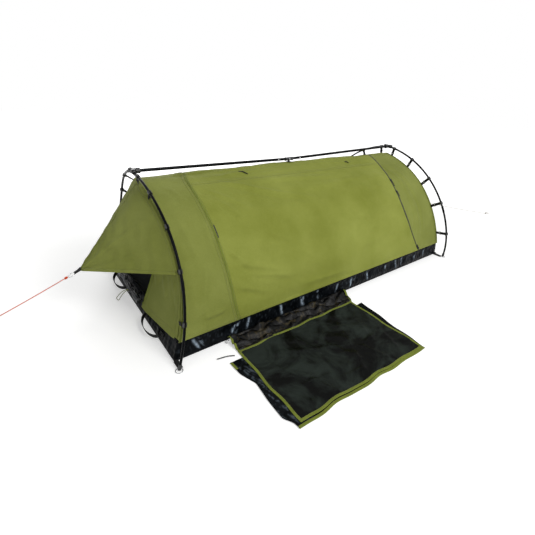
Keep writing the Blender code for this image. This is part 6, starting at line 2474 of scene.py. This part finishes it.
@dataclass
class CarryHandle:
    """A webbing carry handle that turns on its two rolled ends, with the tape that is sewn to the tub for it."""

    side: Side
    span: float = 0.21
    middle: float = 0.265
    reach: float = 0.050
    height: float = 0.040
    webbing: float = 0.0022
    width: float = 0.024
    nose: float = 0.003
    flare: float = 0.40
    curl: float = 0.16
    droop: float = math.radians(20.0)

    def build(self) -> None:
        """Build the handle, its stitched middle and the tub's tape behind it."""
        word, body = self.side.word, f"handle_{self.side.word}"
        seat, normal = SHAPE.front_wall(self.height)
        pivot = seat + normal * (self.nose + 0.0005) + xyz(0.0, self.side.value * self.middle, 0.0)
        outward = xyz(-math.cos(self.droop), 0.0, -math.sin(self.droop))
        up = xyz(-math.sin(self.droop), 0.0, math.cos(self.droop))
        angle = np.linspace(0.0, np.pi, 90)
        out = self.reach * np.sin(angle)
        width = np.minimum(self.width / 2, self.nose + self.flare * out)
        path = pivot + xyz(0.0, self.span / 2 * np.cos(angle), 0.0) + outward * out[:, None]
        inward = unit(across_and_along(np.cos(angle) * self.reach, np.sin(angle) * self.span / 2))
        facing = inward[:, 0:1] * xyz(0.0, 1.0, 0.0) + inward[:, 1:2] * outward
        facing = unit(facing + (self.curl * np.sin(angle) ** 2)[:, None] * up)
        parts = [strap("grip", path, facing, 2 * width, self.webbing)]
        for lap in (slice(0, 9), slice(81, 90)):
            line = path[lap] - facing[lap] * self.webbing
            parts.append(strap("lap", line, facing[lap], 2 * width[lap], self.webbing * 0.8))
        settle(joined(f"carry_handle_{word}", parts), Slot.WEBBING, body, body=body)
        path, facing = path[24:66], facing[24:66]
        rows = [(path + facing * (self.webbing / 2 + 0.0003) + up * offset, facing) for offset in (-0.0085, 0.0085)]
        stitches(f"carry_handle_stitching_{word}", rows, Slot.WEBBING, BLACK_THREAD, 0.005, body=body)
        self.tub_tape(seat + normal * 0.0012, normal)

    def tub_tape(self, base: Array, normal: Array) -> None:
        """Build the tape sewn to the tub behind the handle, with the boxed crosses of its stitching.

        Args:
            base: where the tape's middle line is, at Y of 0.
            normal: the tub wall's outward direction.
        """
        rows, parts = [], []
        down = unit(np.cross(normal, [0.0, 1.0, 0.0]))
        corners = [(a * 0.018, b * 0.010) for a, b in ((-1, -1), (1, -1), (1, 1), (-1, 1), (-1, -1), (1, 1))]
        for sign in (-1.0, 1.0):
            y = self.side.value * self.middle + sign * self.span / 2
            path = base + xyz(0.0, y + np.linspace(-0.021, 0.021, 15), 0.0)
            parts.append(strap("anchor", path, tuple(normal), 0.026, 0.0014))
            line = np.stack([base + normal * 0.0010 + xyz(0.0, y + a, 0.0) + down * b for a, b in corners])
            rows.append((resampled(line, 0.003), normal))
        settle(joined(f"handle_tape_{self.side.word}", parts), Slot.WEBBING)
        stitches(f"handle_tape_stitching_{self.side.word}", rows, Slot.WEBBING, BLACK_THREAD, 0.004)


# ---------------------------------------------------------------- boot mat


@dataclass
class BootMat:
    """The boot mat: a bunched net strip from the tub, a vinyl base and a bound satin cover on it.

    base_passes is how far the base passes the cover at the head's back, the foot's back, the head's front
    and the foot's front. head_outline is the base's uneven head edge, as -Y and X.
    """

    start: float = 0.278 - 2.15 / 2
    length: float = 0.785
    depth: float = 0.459
    set_off: float = 0.098
    cloth: float = 0.0015
    splay: float = 0.040
    wobble: float = 0.0045
    seed: int = 71
    strip_height: float = 0.022
    strip_clear: float = 0.0009
    strip_floor: float = 0.0016
    base_passes: tuple[float, float, float, float] = (0.070, 0.046, 0.018, -0.004)
    base_back: float = 0.044
    base_front: float = 0.018
    binding: float = 0.013
    tape: float = 0.0021
    head_outline: tuple[tuple[float, float], ...] = (
        (0.682, -0.867), (0.764, -0.865), (0.845, -0.836), (0.945, -0.848), (1.048, -0.852), (1.085, -0.828),
        (1.115, -0.825))
    cover_creases: tuple[Crease, ...] = creases((
        (-0.219, -0.690, -0.400, -1.090, 0.015, 0.0046), (-0.640, -0.900, -0.575, -1.092, 0.013, 0.0038),
        (-0.310, -0.840, -0.215, -1.091, 0.014, 0.0036), (-0.774, -0.930, -0.690, -1.080, 0.012, 0.0034),
        (-0.500, -1.030, -0.370, -1.045, 0.012, 0.0036), (-0.400, -0.650, -0.230, -0.690, 0.013, 0.0032),
        (-0.620, -0.760, -0.320, -0.900, 0.018, 0.0032), (-0.100, -0.700, -0.200, -0.960, 0.014, 0.0036),
        (-0.060, -0.850, -0.140, -1.060, 0.013, 0.0030), (-0.520, -0.660, -0.460, -0.900, 0.014, 0.0030),
        (-0.730, -0.700, -0.700, -0.860, 0.013, 0.0030), (-0.330, -0.960, -0.100, -0.900, 0.014, 0.0030),
        (-0.700, -0.960, -0.520, -0.990, 0.012, 0.0030), (-0.440, -0.760, -0.340, -1.000, 0.016, 0.0034)))
    tie_start: tuple[float, float, float] = (-0.8240, -0.6540, 0.0036)
    tie_end: tuple[float, float, float] = (-0.9040, -0.6250, 0.0030)
    tie_radius: float = 0.0027
    ring_centre: tuple[float, float, float] = (-0.8080, -0.5570, 0.0110)
    ring_radius: float = 0.0085

    @property
    def back(self) -> float:
        """The cover's edge towards the tub."""
        return -SHAPE.tub_width / 2 - self.set_off

    def base_height(self, x: Array, y: Array) -> Array:
        """Give how far the base's cloth stands off the ground, a little at its free corners."""
        waves = 0.0007 + ripple(x, y, 61, 0.16, 0.0009)
        corner = 0.0030 * smooth((-0.800 - x) / 0.06) * (0.6 + 0.4 * np.sin(y * 40))
        return np.maximum(waves, 0.0001) + np.maximum(corner, 0.0)

    def cover_height(self, x: Array, y: Array) -> Array:
        """Give the height of the cover's underside, with its creases.

        Args:
            x: places along the swag.
            y: places across it.

        Returns:
            The heights.
        """
        lift = 0.0012 + ripple(x, y, 62, 0.15, 0.0024) + ripple(x, y, 63, 0.045, 0.0010)
        for crease in self.cover_creases:
            lift = lift + crease.lift(x, y)
        inside = smooth((x - self.start) / 0.05) * smooth((self.start + self.length - x) / 0.05)
        inside = inside * smooth((self.back - y) / 0.05) * smooth((y - self.back + self.depth) / 0.05)
        return self.base_height(x, y) + self.cloth + 0.0003 + np.maximum(lift * 0.7, 0.0) * (0.25 + 0.75 * inside)

    def places(self, corners: Sequence[Sequence[float]]) -> tuple[Array, Array]:
        """Give the places of a four-cornered cloth, with slightly uneven edges.

        Args:
            corners: two at the tub's side and two at the front, the head's first at the tub's side and last.

        Returns:
            X and Y of shape (rows, columns).
        """
        a, b, c, d = np.array(corners)
        down, over = np.meshgrid(np.linspace(0, 1, 90), np.linspace(0, 1, 150), indexing="ij")
        place = mixed(mixed(a, b, over[..., None]), mixed(d, c, over[..., None]), down[..., None])
        edge, side = np.abs(2 * down - 1) ** 6, np.abs(2 * over - 1) ** 6
        x = place[..., 0] + side * ripple(down * 0.46, down * 0, self.seed + 1, 0.20, self.wobble * 0.6)
        return x, place[..., 1] + edge * ripple(over * 0.8, over * 0, self.seed, 0.14, self.wobble)

    def edge_path(self, grid: Array, edge: str, inside: float, rise: float) -> Array:
        """Give the line along one edge of a cloth.

        Args:
            grid: the cloth's face.
            edge: back, front, left or right.
            inside: how far in from the edge.
            rise: how far above the face.

        Returns:
            The points.
        """
        lines = {"back": (grid[0], grid[6]), "front": (grid[-1], grid[-7]), "left": (grid[:, 0], grid[:, 8]),
                 "right": (grid[:, -1], grid[:, -9])}
        line, inner = lines[edge]
        return line + unit(inner - line) * inside + xyz(0.0, 0.0, rise)

    def bound(self, grid: Array, edges: Sequence[str], rise: float) -> list[Piece]:
        """Build the folded tape round a mat's edges.

        Args:
            grid: the cloth's face.
            edges: which of back, front, left and right are bound.
            rise: how far the tape's middle is above the face.

        Returns:
            The lengths of tape.
        """
        paths = [resampled(self.edge_path(grid, edge, self.binding / 2 - 0.0014, rise), 0.006) for edge in edges]
        return [strap("tape", path, (0.0, 0.0, 1.0), self.binding, self.tape, BINDING) for path in paths]

    def build(self) -> None:
        """Build the base, the cover, the strip and their trims."""
        end, front = self.start + self.length, self.back - self.depth
        head_back, foot_back, head_front, foot_front = self.base_passes
        x, y = self.places((
            (self.start - head_back, self.back - self.base_back), (end + foot_back, self.back - self.base_back),
            (end + foot_front, front - self.base_front - 0.009), (self.start - head_front, front - self.base_front)))
        head = windowed(np.interp(-y[:, 0], *zip(*self.head_outline)), 9)[:, None]
        x = x + (head - x[:, :1]) * smooth(1 - (x - x[:, :1]) / 0.18)
        base_grid = xyz(x, y, self.base_height(x, y) + self.cloth)
        base = grid_object("vinyl_mat_base", base_grid, VINYL, base_grid[..., :2])
        # A few pale streaks painted at the base's head end, as highlights on its crinkles.
        rubbed = smooth(np.abs(ripple(x * 1.3 + y * 0.4, y * 0.35, 75, 0.035, 1.0, 0.6)) * 2.4 - 1.3) * 0.20
        add_painted_highlight(base, rubbed * smooth((self.start + 0.07 - x) / 0.05))
        settle(thicken(base, self.cloth * 0.9), Slot.PVC, "mat_base", body="boot_mat")
        x, y = self.places((
            (self.start, self.back), (end, self.back), (end - 0.008, front - 0.016), (self.start - 0.008, front)))
        cover_grid = xyz(x, y, self.cover_height(x, y) + self.cloth)
        cover = grid_object("satin_mat_cover", cover_grid, SATIN, cover_grid[..., :2])
        settle(thicken(cover, self.cloth * 0.9), Slot.PVC, "mat_cover", body="boot_mat")
        declare_cloth(base, base_grid, "laid", "ground")
        declare_cloth(cover, cover_grid, "laid", "vinyl_mat_base")
        edges = ("back", "front", "left", "right")
        parts = self.bound(cover_grid, edges, -0.0006) + self.bound(base_grid, ("front",), -0.0004)
        parts += self.bound(base_grid[:12], ("left",), -0.0004)
        settle(joined("mat_binding", parts), Slot.CANVAS, body="boot_mat")
        rows = [(self.edge_path(cover_grid, edge, self.binding - 0.0035, 0.0007), [0.0, 0.0, 1.0]) for edge in edges]
        stitches("mat_binding_stitching", rows, Slot.CANVAS, OLIVE_THREAD, body="boot_mat")
        self.strip()
        self.tie()

    def strip(self) -> None:
        """Build the bunched net strip between the tub and the cover, with its bound ends."""
        top_y = -SHAPE.tub_width / 2 - self.strip_clear
        down, over = np.meshgrid(np.linspace(0, 1, 60), np.linspace(0, 1, 190), indexing="ij")
        x = mixed(self.start, self.start + self.length + self.splay * (1 - down), over)
        y = top_y + (self.back - 0.0070 - top_y) * down
        fall = mixed(self.strip_height, self.strip_floor, smooth(down / 0.85))
        held = smooth(down / 0.10) * smooth((1 - down) / 0.12)
        crumple = ripple(x, y * 1.4, 81, 0.095, 0.0075, 0.8) + ripple(x, y, 82, 0.038, 0.0016)
        z = np.maximum(fall + (np.abs(crumple) * 1.5 - 0.0034) * held, 0.0012 + 0.0006 * held)
        grid = xyz(x, y, np.where(y < self.back + 0.001, 0.0012, z))
        net = thicken(grid_object("net_mat_strip", grid, BUNCHED_NET, grid[..., :2]), 0.0010, 0.0)
        bend_with_mat(net, Slot.MESH, "mat_strip")
        declare_cloth(net, grid, "gathered", "vinyl_tub")
        parts = []
        for column, inner in ((0, 5), (-1, -6)):
            line = grid[:, column]
            path = softened(line + unit(grid[:, inner] - line) * 0.0045 + xyz(0.0, 0.0, 0.0012), 4)
            parts.append(strap("tape", resampled(path, 0.005), (0.0, 0.0, 1.0), 0.012, 0.0022, BINDING))
        bend_with_mat(joined("strip_binding", parts), Slot.CANVAS)

    def tie(self) -> None:
        """Build the tie at the mat's head corner and the small ring beside the strip."""
        share = np.linspace(0.0, 1.0, 24)
        path = mixed(np.array(self.tie_start), np.array(self.tie_end), share[:, None])
        path[:, 1] += 0.0030 * np.sin(np.pi * share * 1.5)
        path[:, 2] += 0.0012 * np.sin(np.pi * share)
        tie = tube("mat_tie", resampled(path, 0.0015), self.tie_radius, BLACK_CORD, 12)
        settle(tie, Slot.WEBBING, body="boot_mat")
        angle = turns(40)
        spoke = xyz(np.cos(angle) * 0.8, np.sin(angle), np.cos(angle) * 0.6)
        ring = np.array(self.ring_centre) + spoke * self.ring_radius
        side = unit(np.cross(ring_ahead(ring), spoke))
        grid = swept(ring, unit(spoke), side, 0.0015 * circle(turns(10)))
        item = grid_object("mat_ring", grid, NICKEL, close_rows=True, close_columns=True)
        settle(item, Slot.STEEL, body="boot_mat")


# ---------------------------------------------------------------- studio


@dataclass
class Studio:
    """A white paper floor, soft lamps and the camera at the photograph's place."""

    place: tuple[float, float, float] = (-1.4455, -1.6950, 1.1136)
    yaw: float = 0.6491
    pitch: float = 0.4883
    roll: float = 0.0420
    focal_pixels: float = 341.455
    frame_pixels: float = 535.0
    sensor: float = 36.0
    air_level: float = 0.28
    floor_reach: float = 14.0
    floor_height: float = -0.0006

    def camera(self) -> None:
        """Set the camera."""
        yaw, pitch, roll = self.yaw, self.pitch, self.roll
        ahead = Vector((math.sin(yaw) * math.cos(pitch), math.cos(yaw) * math.cos(pitch), -math.sin(pitch)))
        right = Vector((math.cos(yaw), -math.sin(yaw), 0.0))
        up = right.cross(ahead)
        turned = math.cos(roll) * right + math.sin(roll) * up
        upright = math.cos(roll) * up - math.sin(roll) * right
        data = bpy.data.cameras.new("camera")
        data.sensor_width = self.sensor
        data.lens = self.sensor * self.focal_pixels / self.frame_pixels
        data.clip_start, data.clip_end = 0.05, 100.0
        camera = bpy.data.objects.new("camera", data)
        turn = Matrix((turned, upright, -ahead)).transposed()
        camera.matrix_world = Matrix.Translation(Vector(self.place)) @ turn.to_4x4()
        bpy.context.scene.collection.objects.link(camera)
        bpy.context.scene.camera = camera

    def lamp(self, name: str, place: Sequence[float], target: Sequence[float], size: float, power: float) -> None:
        """Set one square soft lamp.

        Args:
            name: its name.
            place: where it is.
            target: where it points.
            size: its side.
            power: in watts.
        """
        data = bpy.data.lights.new(name, "AREA")
        data.shape, data.size, data.energy = "SQUARE", size, power
        item = bpy.data.objects.new(name, data)
        item.location = place
        item.rotation_mode = "QUATERNION"
        item.rotation_quaternion = (Vector(target) - Vector(place)).to_track_quat("-Z", "Y")
        bpy.context.scene.collection.objects.link(item)

    def build(self) -> None:
        """Set the lamps, the world and the floor."""
        self.lamp("key_lamp", (0.5, -4.2, 3.1), (0.0, -0.1, 0.2), 1.9, 158.0)
        self.lamp("top_lamp", (0.4, 0.8, 4.2), (0.0, 0.0, 0.2), 2.6, 32.0)
        self.lamp("back_lamp", (0.8, 4.4, 2.6), (0.0, 0.0, 0.2), 2.4, 80.0)
        self.lamp("fill_lamp", (-4.4, -1.4, 0.9), (-0.8, 0.0, 0.2), 1.6, 22.0)
        world = bpy.data.worlds.new("studio_air")
        world.use_nodes = True
        world.node_tree.nodes.clear()
        add = partial(add_node, world.node_tree)
        level = add("MapRange", {"Value": seen_white(add), "To Min": self.air_level, "To Max": 1.0})
        air = add("Background", {"Color": (1.0, 1.0, 1.0, 1.0), "Strength": level})
        add("OutputWorld", {"Surface": air}, ())
        bpy.context.scene.world = world
        flat = np.linspace(-self.floor_reach, self.floor_reach, 9)
        x, y = np.meshgrid(flat, flat, indexing="ij")
        grid_object("studio_floor", xyz(x, y, self.floor_height), FLOOR)
        bpy.context.scene.view_settings.view_transform = "Standard"


def main() -> None:
    """Build the whole swag, sub-assembly by sub-assembly."""
    logging.basicConfig(level=logging.INFO, format="%(name)s: %(message)s")
    Studio().camera()
    for rope in guy_ropes():
        rope.build()
    TubBase().build()
    for end in End:
        for side in Side:
            CornerAnchor(end, side).build()
    Mattress().build()
    PoleFrame().build()
    CANOPY.build()
    EndWalls().build()
    for end in End:
        Hood(end).build()
    for side in Side:
        CarryHandle(side).build()
    BootMat().build()
    Studio().build()


if __name__ == "__main__":
    main()
